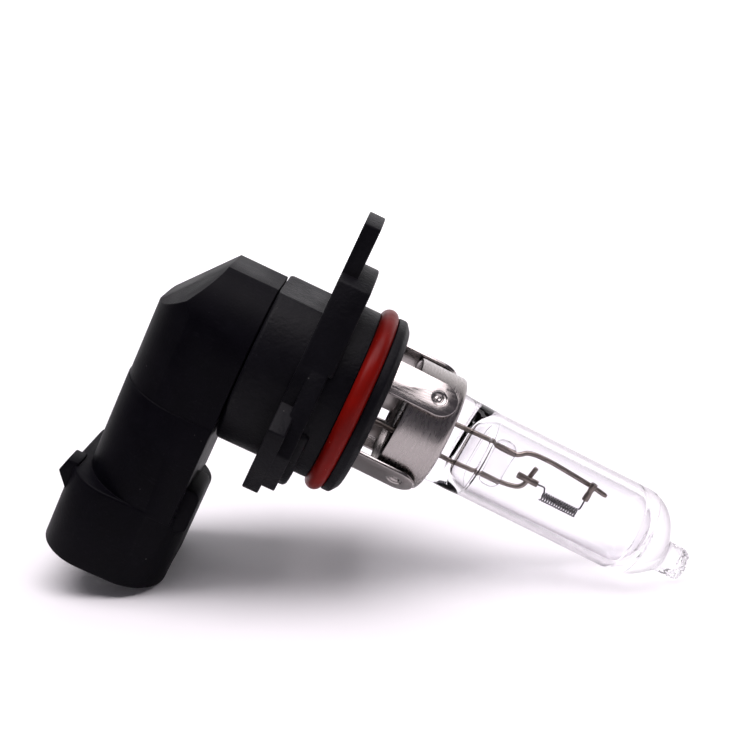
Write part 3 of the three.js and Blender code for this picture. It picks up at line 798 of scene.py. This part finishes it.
def flange_shape():
    """Collar, ring groove, nose, rim disc and lugs as one moulding, hollow and slotted."""
    size = sizes()
    collar = size.collar_radius / MM
    disc_r = collar + 0.5
    third = 2 * math.pi / 3
    profile = rounded_profile([
        (COLLAR_REAR, 0), (COLLAR_REAR, collar - 0.3), (COLLAR_REAR + 0.3, collar), (GROOVE[0], collar),
        (GROOVE[0], GROOVE_R),
        (GROOVE[1], GROOVE_R), (GROOVE[1], LIP_R), (NOSE_FRONT - 0.7, LIP_R), (NOSE_FRONT, LIP_R - 0.9),
        (NOSE_FRONT, 0)])
    disc = rounded_profile([(LUG_REAR, 0), (LUG_REAR, disc_r), (DISC_FRONT, disc_r), (DISC_FRONT, 0)], 0.15)
    lobe_r = size.lug_reach / MM
    steps = [("DIFFERENCE", box((-7, -12, FLAT_TOP), (LUG_REAR + 0.01, 12, 14))), ("UNION", lathe(disc)),
             ("UNION", prism(lobe(90, LOBE_HALF_ANGLE, lobe_r, disc_r), "x", LUG_REAR, RIM_FRONT, 0.2, 3))]
    for i in range(3):
        spin = Matrix.Rotation(i * third, 4, "X")
        reach = size.long_lug_reach / MM if i == 0 else lobe_r
        half = LUG_HALF if i == 0 else LOWER_LUG_HALF
        steps.append(("UNION", moved(prism(lug_plate(half, reach), "x", LUG_REAR, LUG_FRONT, 0.16, 3), spin)))
        if i > 0:
            layer = prism(lobe(90, LAYER_HALF_ANGLE, reach - 0.15, disc_r), "x", LUG_FRONT - 0.5, LAYER_FRONT,
                          0.16, 3)
            middle = 90 + 120 * i + (CAM_TURN if i == 1 else -CAM_TURN)
            cam = prism(lobe(middle, CAM_HALF_ANGLE, lobe_r - CAM_DROP, disc_r), "x", 1.0, RIM_FRONT + 0.6,
                        0.5, 4)
            steps += [("UNION", moved(layer, spin)), ("UNION", cam)]
    steps.append(("DIFFERENCE", lathe([(-7, 0), (-7, REAR_BORE_R), (REAR_BORE_END, REAR_BORE_R),
                                       (REAR_BORE_END, BORE_R), (NOSE_FRONT + 1, BORE_R),
                                       (NOSE_FRONT + 1, 0)], 64)))
    steps.append(("DIFFERENCE", lathe([(-7, 0), (-7, REAR_RECESS_R), (REAR_RECESS_END, REAR_RECESS_R),
                                       (REAR_RECESS_END, 0)], 64)))
    steps += [("DIFFERENCE", tongue_slot(math.pi / 4 + i * math.pi / 2)) for i in range(4)]
    return carved(lathe(profile, 144), steps)


def elbow_plan(back, half, corner):
    """Plan in (x, y): square in front, round towards the back."""
    return [(ELBOW_FRONT, -half), (ELBOW_FRONT, half),
            *arc((back + corner, half - corner), corner, 90, 180, 18),
            *arc((back + corner, corner - half), corner, 180, 270, 18)]


def back_chamfer(y, side):
    """What one plane of the back slope takes away: it holds the slope's line at y and leans sideways."""
    place = (Matrix.Translation((CHAMFER[0], y, CHAMFER[1]))
             @ Matrix.Rotation(-math.atan(CHAMFER_SLOPE), 4, "Y")
             @ Matrix.Rotation(math.radians(side), 4, "X"))
    return moved(box((-30, -30, 0), (12, 30, 30)), place)


def elbow_shape():
    """Elbow, arm, shroud, ear, latch block and spigot as one moulding, hollow for the terminals."""
    shell = prism(elbow_plan(ELBOW_BACK, ELBOW_R, ELBOW_CORNER), "z", SEAM_Z, FLAT_TOP - 0.1)
    drum = lathe([(ELBOW_BACK - 2, 0), (ELBOW_BACK - 2, ELBOW_R), (ELBOW_FRONT, ELBOW_R),
                  (ELBOW_FRONT, 0)], 160)
    below = box((ELBOW_BACK - 2, -10, SEAM_Z - 2), (ELBOW_FRONT, 10, 0))
    mould = carved(drum, [("UNION", below)])
    cuts = [("DIFFERENCE", back_chamfer(y, side)) for y, side in
            ((0, 0), (CHAMFER_HALF, -CHAMFER_SIDE), (-CHAMFER_HALF, CHAMFER_SIDE))]
    shell = carved(shell, [("INTERSECT", mould), *cuts])
    arm_plan = elbow_plan(ELBOW_BACK - ARM_GROWTH, ELBOW_R + ARM_GROWTH, ELBOW_CORNER + ARM_GROWTH)
    arm = prism(arm_plan, "z", SHOULDER_Z - 0.5, SEAM_Z, 0.08)
    outer = rounded_box((SHROUD_X[0], -SHROUD_HALF_Y), (SHROUD_X[1], SHROUD_HALF_Y), SHROUD_CORNER, 14)
    shroud = prism(outer, "z", RIM_Z, SHOULDER_Z, 0.25, 3)
    flat = SHROUD_HALF_Y - SHROUD_CORNER
    sink = prism([(SHROUD_X[1] + 1, -flat), (SHROUD_X[1], -flat), (SHROUD_X[1] - WALL_SINK, 0),
                  (SHROUD_X[1], flat), (SHROUD_X[1] + 1, flat)], "z", RIM_Z - 1, SINK_TOP)
    shroud = carved(shroud, [("DIFFERENCE", sink)])
    out = SHROUD_X[0] - EAR_REACH
    ear = prism([(out + 0.5, SHOULDER_Z + 0.35), (out, SHOULDER_Z - 1.3), (out + 0.3, SHOULDER_Z - 1.7),
                 (out + 1.4, SHOULDER_Z - 3.1), (out + 1.8, SHOULDER_Z + 0.35)], "y", *EAR_Y, 0.15)
    latch = prism(rounded_box((SHROUD_X[1] - 2.2, LATCH_Z[0]), (SHROUD_X[1] + 0.1, LATCH_Z[1]), 0.9, 6),
                  "y", *LATCH_Y, 0.2)
    spigot = lathe([(ELBOW_FRONT - 1, 0), (ELBOW_FRONT - 1, SPIGOT_R), (SPIGOT_FRONT, SPIGOT_R),
                    (SPIGOT_FRONT, 0)], 64)
    inner = rounded_box((SHROUD_X[0] + WALL, WALL - SHROUD_HALF_Y),
                        (SHROUD_X[1] - WALL, SHROUD_HALF_Y - WALL), SHROUD_CORNER - WALL, 12)
    steps = [("UNION", arm), ("UNION", shroud), ("UNION", ear), ("UNION", latch), ("UNION", spigot),
             ("DIFFERENCE", prism(inner, "z", RIM_Z - 1, SHOULDER_Z - WALL)),
             ("DIFFERENCE", lathe([(-11, 0), (-11, SPIGOT_BORE_R), (-3, SPIGOT_BORE_R), (-3, 0)], 64))]
    for side in (-1, 1):
        y = side * BLADE_Y
        passage = box((BLADE_X - 1.7, y - 0.65, SHOULDER_Z - 3), (BLADE_X + 1.7, y + 0.65, 0))
        steps.append(("DIFFERENCE", passage))
    mid = (SHROUD_X[0] + SHROUD_X[1]) / 2
    steps.append(("UNION", box((mid - 0.6, SHROUD_HALF_Y - WALL - 1.2, RIM_Z + 1.5),
                               (mid + 0.6, SHROUD_HALF_Y - 0.5, SHOULDER_Z - 0.5))))
    return carved(shell, steps)


# ---------------------------------------------------------------- steel mounting

def tongue_shape():
    """One tongue along x above the sleeve, round at its end, with a weld dimple."""
    half = 2.0
    bottom = SLEEVE_R + TONGUE_GAP
    outline = [(TONGUE_START, -half), *arc((13.2, 0), half, -90, 90, 20), (TONGUE_START, half)]
    plate = prism(outline, "z", bottom, bottom + 0.45, 0.1, 3)
    hollow = [(0, 0), (0, 0.42), (0.14, 0.55), (0.16, 0.78), (0.34, 0.96), (0.8, 1.2), (0.8, 0)]
    dish = moved(lathe(hollow, 40),
                 Matrix.Translation((WELD_X, 0, bottom + 0.18)) @ Matrix.Rotation(-math.pi / 2, 4, "Y"))
    nugget = moved(lathe([(0, 0.0), (0.05, 0.2), (0, 0.34), (-0.1, 0.36), (-0.1, 0)], 32),
                   Matrix.Translation((WELD_X, 0, bottom + 0.22)) @ Matrix.Rotation(-math.pi / 2, 4, "Y"))
    return carved(plate, [("DIFFERENCE", dish), ("UNION", nugget)])


def store_weld_tint_and_shade(mesh, centres, reach, lower, upper=1.0):
    """A value on every vertex, from its share at the nearest weld down to 0 at that weld's reach.

    The reach is given for the upper and the lower welds. A wide reach spreads the value over a whole part as
    painted shade, not as a weld mark.
    """
    heat = mesh.attributes.new("heat", "FLOAT", "POINT")
    for i, vertex in enumerate(mesh.vertices):
        weld = min(centres, key=lambda c: (vertex.co - c).length)
        below = weld.z < 0
        share = max(0.0, 1.0 - (vertex.co - weld).length / reach[below]) ** 0.4
        heat.data[i].value = share * (lower if below else upper)


def weld_centres(drop=0.0):
    """Middles of the four welds, the upper two lowered round the sleeve by an angle; on the sleeve this puts
    the painted shade below the upper tongues.
    """
    r = SLEEVE_R + TONGUE_GAP + 0.3
    upper, lower = math.pi / 4 - drop, math.pi / 4
    return [Vector((WELD_X, r * side * math.cos(a), r * rise * math.sin(a)))
            for a, rise in ((upper, 1), (lower, -1)) for side in (-1, 1)]


def sleeve_shape():
    """The band round the pinch, its front edge turned in."""
    x0, x1 = SLEEVE_X
    outer, inner = SLEEVE_R, SLEEVE_R - SLEEVE_THICKNESS
    along = [(x0 + 0.2 + (x1 - x0 - 0.7) * i / 12, outer) for i in range(13)]
    profile = [(x0, inner + 0.1), (x0 + 0.06, outer - 0.05), *along,
               (x1 - 0.18, outer - 0.1), (x1, outer - 0.42), (x1 + 0.02, outer - 0.8),
               (x1 - 0.2, outer - 0.95), (x1 - 0.42, outer - 0.8), (x1 - 0.5, inner), (x0 + 0.2, inner)]
    return lathe(profile, 128, closed=True)


def clip_shape():
    """Two plates with a window for the pinch and two walls that hold it."""
    rim = SLEEVE_R - 0.65
    front = lathe([(14.7, 0), (14.7, rim - 0.2), (14.85, rim), (15.15, rim), (15.3, rim - 0.2),
                   (15.3, 0)], 96)
    back = lathe([(11.2, 0), (11.2, rim), (11.6, rim), (11.6, 0)], 96)
    window = box((10, -2.05, -5.35), (16, 2.05, 5.35))
    plates = carved(front, [("UNION", back), ("DIFFERENCE", window)])
    walls = [box((11.4, y, -3.5), (15.0, y + 0.4, 3.5), 0.06) for y in (-2.5, 2.1)]
    return joined(plates, *walls)


# ---------------------------------------------------------------- glass and what it holds

def blend_section(x, half_y, half_z, power, sides, centre):
    """A ring between a flat rectangle (high power) and an ellipse (power 2)."""
    points = []
    for i in range(sides):
        a = 2 * math.pi * (i + 0.5) / sides
        c, s = math.cos(a), math.sin(a)
        y = math.copysign(abs(c) ** (2 / power), c) * half_y
        z = math.copysign(abs(s) ** (2 / power), s) * half_z
        points.append(Vector((x, y, z + centre)))
    return points


def section_run(stations, sides, steps):
    """Rings along smooth curves through the stations (x, half_y, half_z, power, centre)."""
    rows = smooth_rows(stations, steps)
    return [blend_section(x, max(hy, 0.02), max(hz, 0.02), max(power, 2.0), sides, centre)
            for x, hy, hz, power, centre in rows]


def smooth_rows(rows, steps):
    """Rows of numbers smoothly between the given ones, each number held between its two neighbours."""
    out = []
    last = len(rows) - 1
    for i in range(last):
        four = (rows[max(i - 1, 0)], rows[i], rows[i + 1], rows[min(i + 2, last)])
        for k in range(steps):
            row = []
            for p0, p1, p2, p3 in zip(*four):
                value = spline_value(p0, p1, p2, p3, k / steps)
                row.append(min(max(value, min(p1, p2)), max(p1, p2)))
            out.append(row)
    out.append(list(rows[-1]))
    return out


def glass_shape():
    """The capsule: a flat pinch, a round tube and a sealed-off tip outside, one hollow inside."""
    r = sizes().tube_radius / MM
    inner = r - sizes().tube_wall / MM
    outside = [
        (12.4, 1.85, 5.15, 9, 0), (12.7, 1.95, 5.25, 9, 0), (15.0, 1.95, 5.25, 6, 0),
        (17.4, 1.98, 5.22, 3.2, 0),
        (18.3, 2.5, 5.2, 2.8, 0), (19.2, 3.6, 5.14, 2.4, 0), (20.2, 4.6, r + 0.03, 2.1, 0),
        (21.4, r, r, 2, 0),
        (30, r, r, 2, 0), (39.2, r, r, 2, 0), (40.6, r * 0.965, r * 0.965, 2, 0),
        (41.7, r * 0.88, r * 0.88, 2, -0.04), (42.6, r * 0.755, r * 0.755, 2, -0.16),
        (43.3, r * 0.61, r * 0.61, 2, -0.42), (43.8, r * 0.49, r * 0.49, 2, -0.72),
        (TIP_START, 2.08, 2.08, 2, -0.92), (44.8, 1.84, 1.84, 2, -1.06), (45.8, 1.75, 1.75, 2.1, -1.1),
        (46.5, 1.72, 1.76, 2.1, -1.1), (46.95, 1.5, 1.6, 2.2, -1.1), (47.12, 1.05, 1.15, 2.1, -1.15),
        (47.15, 0.3, 0.35, 2, -1.2)]
    inside = [
        (18.9, 0.25, 2.3, 2.6, 0), (19.0, 0.8, 2.9, 2.6, 0), (19.3, 1.5, 3.35, 2.6, 0),
        (19.9, 2.6, 3.75, 2.3, 0), (20.8, 3.6, inner - 0.1, 2.1, 0), (21.8, inner, inner, 2, 0),
        (30, inner, inner, 2, 0), (38.0, inner, inner, 2, 0), (39.4, inner * 0.94, inner * 0.94, 2, 0),
        (40.4, inner * 0.82, inner * 0.82, 2, 0), (41.1, inner * 0.63, inner * 0.63, 2, -0.1),
        (41.55, inner * 0.38, inner * 0.38, 2, -0.3), (41.7, 0.2, 0.2, 2, -0.4)]
    shell = loft(section_run(outside, 96, 5))
    for vertex in shell.verts:
        if vertex.co.x > TIP_START:      # the sealed-off end is uneven
            share = min((vertex.co.x - TIP_START) / 1.5, 1.0)
            spot = vertex.co * 1.25
            vertex.co.y += share * (noise.noise(spot) * 0.34 + noise.noise(spot * 2.7) * 0.14)
            vertex.co.z += share * noise.noise(spot * 1.9 + Vector((2, 9, 4))) * 0.16
            vertex.co.x -= share * abs(noise.noise(spot * 1.4 + Vector((7, 3, 1)))) * 0.5
    hollow = loft(section_run(inside, 96, 5))
    bmesh.ops.reverse_faces(hollow, faces=hollow.faces)
    outer_count = len(shell.verts)
    both = joined(shell, hollow)
    mark = both.verts.layers.float.new("inside")
    for i, vertex in enumerate(both.verts):
        vertex[mark] = 0.0 if i < outer_count else 1.0
    return both


def lead_points(rows):
    """A lead's smooth line through its points (x, z), all in the plane of the pinch."""
    return smooth_line([(x, 0.0, z) for x, z in rows], 8)


LONG_LEAD = [(8.4, LEAD_Z), (14, LEAD_Z), (20.4, LEAD_Z), (21.6, 1.84), (22.6, 1.8), (24.2, 1.84),
             (24.75, 2.12), (25.3, 2.55), (26.2, 2.78), (27.4, 2.84), (29, 2.8), (33.3, 2.47), (35.4, 2.2)]
SHORT_LEAD = [(8.4, -LEAD_Z), (14, -LEAD_Z), (20.4, -LEAD_Z), (21.6, -1.84), (22.6, -1.8), (24.2, -1.78),
              (25.4, -1.62), (26.25, -1.35), (26.7, -0.85), (26.85, -0.1), (26.95, 0.8), (27.05, 1.55)]


def bridge_shape():
    """The glass bead that ties the leads: a soft bar, swollen round each lead."""
    rings = []
    for i in range(33):
        t = -1 + i / 16
        z = t * 2.85
        swell = 0.18 * math.exp(-((abs(z) - 1.8) / 0.6) ** 2)
        end = math.sqrt(max(0.0, 1 - abs(t) ** 7)) if abs(t) < 1 else 0.0
        half_x = max((1.25 + swell * 0.4) * end, 0.05)
        half_y = max((0.95 + swell) * end, 0.05)
        ring = []
        for k in range(40):
            a = 2 * math.pi * k / 40
            c, s = math.cos(a), math.sin(a)
            ring.append(Vector((22.95 + math.copysign(abs(c) ** 0.75, c) * half_x,
                                math.copysign(abs(s) ** 0.75, s) * half_y, z)))
        rings.append(ring)
    return loft(rings)


def tube_piece(length, outer, inner, matrix):
    """A short open tube with slightly pinched middle, where it is crimped."""
    profile = []
    for i in range(13):
        t = i / 12
        pinch = 0.05 * math.exp(-((t - 0.5) / 0.12) ** 2)
        profile.append(((t - 0.5) * length, outer - pinch))
    profile += [((0.5 - i) * length, inner) for i in (0, 1)]
    return moved(lathe(profile, 28, closed=True), matrix)


# ---------------------------------------------------------------- operators

class BULB_OT_base(bpy.types.Operator):
    """Builds the flange base with its lugs, groove and nose"""
    bl_idname = "bulb.base"
    bl_label = "Flange base"

    def execute(self, context):
        material = plastic_material("black_plastic_grained", grain=1.0, scale=2300.0, roughness=0.50,
                                    shine=0.11)
        finish_piece("base_moulding", flange_shape(), material, ["flange_base"], LAY)
        return {"FINISHED"}


class BULB_OT_connector(bpy.types.Operator):
    """Builds the elbow with its arm, shroud, ear and latch block"""
    bl_idname = "bulb.connector"
    bl_label = "Connector elbow"

    def execute(self, context):
        material = plastic_material("black_plastic_smooth", grain=0.30, scale=4200.0, roughness=0.50,
                                    shine=0.055)
        finish_piece("connector_moulding", elbow_shape(), material, ["connector_elbow"], LAY)
        return {"FINISHED"}


class BULB_OT_ring(bpy.types.Operator):
    """Builds the sealing ring in its groove"""
    bl_idname = "bulb.ring"
    bl_label = "Sealing ring"

    def execute(self, context):
        material = rubber_material()
        tree = ring_tree(material)
        mesh = run_geometry_tree(tree, bmesh.new(), {"Ring Radius": sizes().ring_radius / MM,
                                                     "Section Radius": sizes().ring_section / MM})
        middle = Matrix.Translation((sum(GROOVE) / 2, 0, 0))
        finish_mesh("sealing_ring", mesh, material, ["o_ring"], LAY @ middle, 80)
        return {"FINISHED"}


class BULB_OT_terminals(bpy.types.Operator):
    """Builds both terminals, their carrier, the seal and the link strips"""
    bl_idname = "bulb.terminals"
    bl_label = "Terminals"

    def execute(self, context):
        tinned = steel_material("tinned_metal", roughness=0.34, stretch=(500.0, 6000.0, 6000.0),
                                tint_amount=0.0, tint=colours().weld_and_shade_tint)
        compound = compound_material()
        for side, word in ((-1, "near"), (1, "far")):
            y = side * BLADE_Y
            tip = RIM_Z + 1.6
            outline = [(BLADE_X - 1.4, tip + 1.0), (BLADE_X - 0.7, tip), (BLADE_X + 0.7, tip),
                       (BLADE_X + 1.4, tip + 1.0), (BLADE_X + 1.4, -1.2), (1.6, -1.2), (1.6, 1.2),
                       (BLADE_X - 1.4, 1.2)]
            blade = prism(outline, "y", y - 0.4, y + 0.4, 0.15)
            finish_piece(f"blade_{word}", blade, tinned, [f"terminal_{word}"], LAY)
        carrier = box((-14.1, -5.3, -4.4), (-9.25, 5.3, 2.6), 0.3)
        slots = [("DIFFERENCE", box((BLADE_X - 1.6, s * BLADE_Y - 0.6, -6), (0, s * BLADE_Y + 0.6, 1.4)))
                 for s in (-1, 1)]
        carrier = carved(carrier, slots)
        finish_piece("blade_carrier", carrier, compound, ["terminal_carrier"], LAY)
        plug = lathe(rounded_profile([(-3.4, 0), (-3.4, 6.0), (1.0, 6.0), (1.0, 0)], 0.4), 96)
        slots = [("DIFFERENCE", box((-5, s * BLADE_Y - 0.6, -1.4), (3, s * BLADE_Y + 0.6, 1.4)))
                 for s in (-1, 1)]
        finish_piece("seal_plug", carved(plug, slots), compound, ["sealing_compound"], LAY)
        for side, up, word in ((-1, 1, "upper"), (1, -1, "lower")):
            line = smooth_line([(1.2, side * 3.05, 0), (1.7, side * 3.0, 0), (3.0, side * 0.85, 0),
                                (4.5, side * 0.75, 0), (10.0, side * 0.75, 0)], 6)
            normals = [(b - a).normalized().cross(Vector((0, 0, 1))) for a, b in zip(line, line[1:])]
            normals.append(normals[-1])
            left = [(p.x + n.x * 0.2, p.y + n.y * 0.2) for p, n in zip(line, normals)]
            right = [(p.x - n.x * 0.2, p.y - n.y * 0.2) for p, n in zip(line, normals)]
            strip = prism(left + right[::-1], "z", up * 2.0 - 1.1, up * 2.0 + 1.1, 0.06)
            finish_piece(f"strip_{word}", strip, tinned, [f"link_strip_{word}"], LAY)
        return {"FINISHED"}


class BULB_OT_mounting(bpy.types.Operator):
    """Builds the four tongues, the sleeve and the clip in it"""
    bl_idname = "bulb.mounting"
    bl_label = "Steel mounting"

    def execute(self, context):
        # The tongue tint is a weld mark at the upper welds and painted shade over the lower tongues.
        steel = steel_material("tongue_steel", roughness=0.17, stretch=(300.0, 5000.0, 5000.0),
                               tint_amount=1.0, tint=colours().weld_and_shade_tint, lines=0.03)
        # The sleeve's near-black tint is painted shade.
        band = steel_material("sleeve_steel", roughness=0.27, stretch=(5200.0, 900.0, 900.0),
                              tint_amount=0.97, tint=colours().painted_sleeve_shade, lines=0.08)
        tree = round_the_axis_tree(steel)
        mesh = run_geometry_tree(tree, tongue_shape(), {"Count": sizes().tongue_count,
                                                        "First Angle": math.pi / 4})
        # Upper welds: a small weld mark. Lower tongues: painted shade over their whole length, for the dark
        # floor they mirror.
        store_weld_tint_and_shade(mesh, weld_centres(), (1.1, 12.0), 1.0, 0.7)
        names = ["tongue_far_upper", "tongue_far_lower", "tongue_near_lower", "tongue_near_upper"]
        finish_mesh("tongues", mesh, steel, names, CAPSULE)
        mesh = bpy.data.meshes.new("sleeve")
        shape = sleeve_shape()
        shape.to_mesh(mesh)
        shape.free()
        # Sleeve: painted shade, darkest just below the upper tongues and weaker by the lower ones.
        store_weld_tint_and_shade(mesh, weld_centres(math.radians(28)), (4.4, 5.2), 0.5)
        finish_mesh("sleeve", mesh, band, ["capsule_sleeve"], CAPSULE, 50)
        finish_piece("clip", clip_shape(), steel, ["pinch_clip"], CAPSULE)
        return {"FINISHED"}


class BULB_OT_capsule(bpy.types.Operator):
    """Builds the glass capsule"""
    bl_idname = "bulb.capsule"
    bl_label = "Glass capsule"

    def execute(self, context):
        # The grey edge colour is painted shade.
        glass = glass_material("capsule_glass", roughness=0.0, lets_light=0.72, index=1.25,
                               edge=(0.24, 0.21, 0.245), outer_shade_share=0.88)
        finish_piece("capsule_glass", glass_shape(), glass, ["glass_envelope"], CAPSULE, 60)
        return {"FINISHED"}


class BULB_OT_leads(bpy.types.Operator):
    """Builds the two leads and the glass bridge between them"""
    bl_idname = "bulb.leads"
    bl_label = "Leads and bridge"

    def execute(self, context):
        wire = wire_material("lead_wire", colours().wire, 0.38)
        for name, rows in (("lead_long", LONG_LEAD), ("lead_short", SHORT_LEAD)):
            shape = swept(lead_points(rows), LEAD_R)
            finish_piece(f"{name}_wire", shape, wire, [name], CAPSULE, 50)
        # The grey edge colour is painted shade.
        bead = glass_material("bridge_glass", roughness=0.02, lets_light=0.85, index=1.36,
                              edge=(0.12, 0.10, 0.125), outer_shade_share=1.0)
        finish_piece("bridge_bead", bridge_shape(), bead, ["glass_bridge"], CAPSULE, 60)
        return {"FINISHED"}


class BULB_OT_filament(bpy.types.Operator):
    """Builds the wound filament, its tails and the tubes crimped on them"""
    bl_idname = "bulb.filament"
    bl_label = "Filament"

    def execute(self, context):
        size = sizes()
        tungsten = wire_material("tungsten", colours().tungsten, 0.42)
        wire = wire_material("crimp_tube", [c * 0.9 for c in colours().wire], 0.34)
        length, radius = size.coil_length / MM, size.coil_radius / MM
        start = size.light_centre / MM - length / 2
        z = -1.1
        mesh = run_geometry_tree(coil_tree(tungsten), bmesh.new(), {
            "Turns": float(size.coil_turns), "Coil Length": length, "Coil Radius": radius,
            "Wire Radius": 0.078})
        mesh.transform(Matrix.Translation((start, 0, z)))
        coil = bmesh.new()
        coil.from_mesh(mesh)
        top = z + radius
        first = smooth_line([(start - 2.2, -0.8, 0.15), (start - 1.1, -0.7, 0.12),
                             (start - 0.35, -0.45, 0.05), (start - 0.05, -0.12, -0.35),
                             (start + 0.08, 0, top)], 6)
        last = smooth_line([(start + length, 0, top), (start + length + 0.05, -0.15, top + 0.35),
                            (start + length - 0.12, -0.6, 0.7), (start + length - 0.2, -0.8, 1.6)], 6)
        whole = joined(coil, swept(first, TAIL_R, 10), swept(last, TAIL_R, 10))
        finish_piece("filament_coil", whole, tungsten, ["filament"], CAPSULE, 60)
        flat = Matrix.Translation((26.6, -0.8, 0.15))
        upright = Matrix.Translation((33.3, -0.8, 2.0)) @ Matrix.Rotation(math.pi / 2, 4, "Y")
        finish_piece("crimp_short", tube_piece(2.4, 0.37, 0.2, flat), wire,
                     ["tail_tube_short_lead"], CAPSULE, 50)
        finish_piece("crimp_long", tube_piece(2.1, 0.37, 0.2, upright), wire,
                     ["tail_tube_long_lead"], CAPSULE, 50)
        return {"FINISHED"}


class BULB_OT_stage(bpy.types.Operator):
    """Sets the floor, backdrop, lights and camera"""
    bl_idname = "bulb.stage"
    bl_label = "Stage"

    def execute(self, context):
        build_floor()
        build_lights()
        build_camera()
        return {"FINISHED"}


# ---------------------------------------------------------------- stage

FLOOR_FRONT = -0.45
SWEEP_START = 0.30
SWEEP_RADIUS = 0.15
SWEEP_TOP = 0.6
FLOOR_HALF = 0.8
GLOW_DEPTH = (0.05, 0.34)   # where the sweep's own light starts and where it is full
GLOW = 0.72
LIGHT_PLACE = (-0.005, -0.028, 0.36)
LIGHT_AIM = (-0.005, -0.015, 0.0)
LIGHT_SIZE = (0.50, 0.22)
LIGHT_POWER = 1.84
LIGHT_COLOUR = (1.0, 0.95, 0.985)
CAMERA_TARGET = (0.0005, 0.0, 0.0230)
CAMERA_DISTANCE = 0.1138
CAMERA_AZIMUTH = 3.4        # degrees round from straight ahead
CAMERA_ELEVATION = 16.5
CAMERA_LENS = 50.4


def build_floor():
    """A pale sweep: flat under the bulb and curving up behind it."""
    sweep = [(SWEEP_START + SWEEP_RADIUS * math.sin(a), SWEEP_RADIUS - SWEEP_RADIUS * math.cos(a))
             for a in (math.pi / 2 * i / 12 for i in range(1, 13))]
    profile = [(FLOOR_FRONT, 0.0), (SWEEP_START, 0.0), *sweep, (SWEEP_START + SWEEP_RADIUS, SWEEP_TOP)]
    bm = bmesh.new()
    rows = [[bm.verts.new((x, y, z)) for y, z in profile] for x in (-FLOOR_HALF, FLOOR_HALF)]
    for i in range(len(profile) - 1):
        bm.faces.new((rows[0][i], rows[1][i], rows[1][i + 1], rows[0][i + 1]))
    for face in bm.faces:
        face.smooth = True
    mesh = bpy.data.meshes.new("floor")
    bm.to_mesh(mesh)
    bm.free()
    material, tree, shader, where = blank_material("floor_white", Roughness=0.9, Specular_IOR_Level=0.1)
    shader.inputs["Base Color"].default_value = (0.93, 0.918, 0.935, 1.0)
    depth = add(tree, "ShaderNodeSeparateXYZ", {"Vector": where}).outputs["Y"]
    glow = ramp(tree, depth, *GLOW_DEPTH)
    tree.links.new(mix_colour(tree, glow, (0, 0, 0), (1, 1, 1)), shader.inputs["Emission Color"])
    shader.inputs["Emission Strength"].default_value = GLOW
    mesh.materials.append(material)
    floor = bpy.data.objects.new("floor", mesh)
    bpy.context.scene.collection.objects.link(floor)


def build_lights():
    """One soft light overhead and a dim surround."""
    light = bpy.data.lights.new("overhead", "AREA")
    light.shape = "RECTANGLE"
    light.size, light.size_y = LIGHT_SIZE
    light.energy = LIGHT_POWER
    light.color = LIGHT_COLOUR
    ob = bpy.data.objects.new("overhead", light)
    ob.location = LIGHT_PLACE
    ob.rotation_euler = (Vector(LIGHT_AIM) - Vector(LIGHT_PLACE)).to_track_quat("-Z", "Y").to_euler()
    bpy.context.scene.collection.objects.link(ob)
    world = bpy.data.worlds.new("surround")
    world.use_nodes = True
    world.node_tree.nodes["Background"].inputs["Color"].default_value = (0.90, 0.84, 1.0, 1.0)
    world.node_tree.nodes["Background"].inputs["Strength"].default_value = 0.10
    bpy.context.scene.world = world
    bpy.context.scene.view_settings.view_transform = "Standard"


def build_camera():
    azimuth, elevation = math.radians(CAMERA_AZIMUTH), math.radians(CAMERA_ELEVATION)
    away = Vector((math.sin(azimuth) * math.cos(elevation), -math.cos(azimuth) * math.cos(elevation),
                   math.sin(elevation)))
    data = bpy.data.cameras.new("camera")
    data.lens = CAMERA_LENS
    data.sensor_width = 36.0
    data.clip_start = 0.005
    camera = bpy.data.objects.new("camera", data)
    camera.location = Vector(CAMERA_TARGET) + away * CAMERA_DISTANCE
    camera.rotation_euler = (-away).to_track_quat("-Z", "Y").to_euler()
    bpy.context.scene.collection.objects.link(camera)
    bpy.context.scene.camera = camera


# ---------------------------------------------------------------- panel and registration

OPERATORS = (BULB_OT_base, BULB_OT_connector, BULB_OT_ring, BULB_OT_terminals, BULB_OT_mounting,
             BULB_OT_leads, BULB_OT_filament, BULB_OT_capsule, BULB_OT_stage)


class BULB_PT_panel(bpy.types.Panel):
    """Lists the bulb's pieces"""
    bl_idname = "BULB_PT_panel"
    bl_label = "Headlight bulb"
    bl_space_type = "VIEW_3D"
    bl_region_type = "UI"
    bl_category = "Bulb"

    def draw(self, context):
        for operator in OPERATORS:
            self.layout.operator(operator.bl_idname, text=operator.bl_label)
        for group in (context.scene.bulb_sizes, context.scene.bulb_colours):
            for name in group.bl_rna.properties.keys():
                if name not in ("rna_type", "name"):
                    self.layout.prop(group, name)


CLASSES = (BulbSizes, BulbColours, *OPERATORS, BULB_PT_panel)


def register():
    for cls in CLASSES:
        bpy.utils.register_class(cls)
    bpy.types.Scene.bulb_sizes = bpy.props.PointerProperty(type=BulbSizes)
    bpy.types.Scene.bulb_colours = bpy.props.PointerProperty(type=BulbColours)


def unregister():
    del bpy.types.Scene.bulb_colours
    del bpy.types.Scene.bulb_sizes
    for cls in reversed(CLASSES):
        bpy.utils.unregister_class(cls)


def main():
    register()
    for operator in OPERATORS:
        group, name = operator.bl_idname.split(".")
        getattr(getattr(bpy.ops, group), name)()


if __name__ == "__main__":
    main()
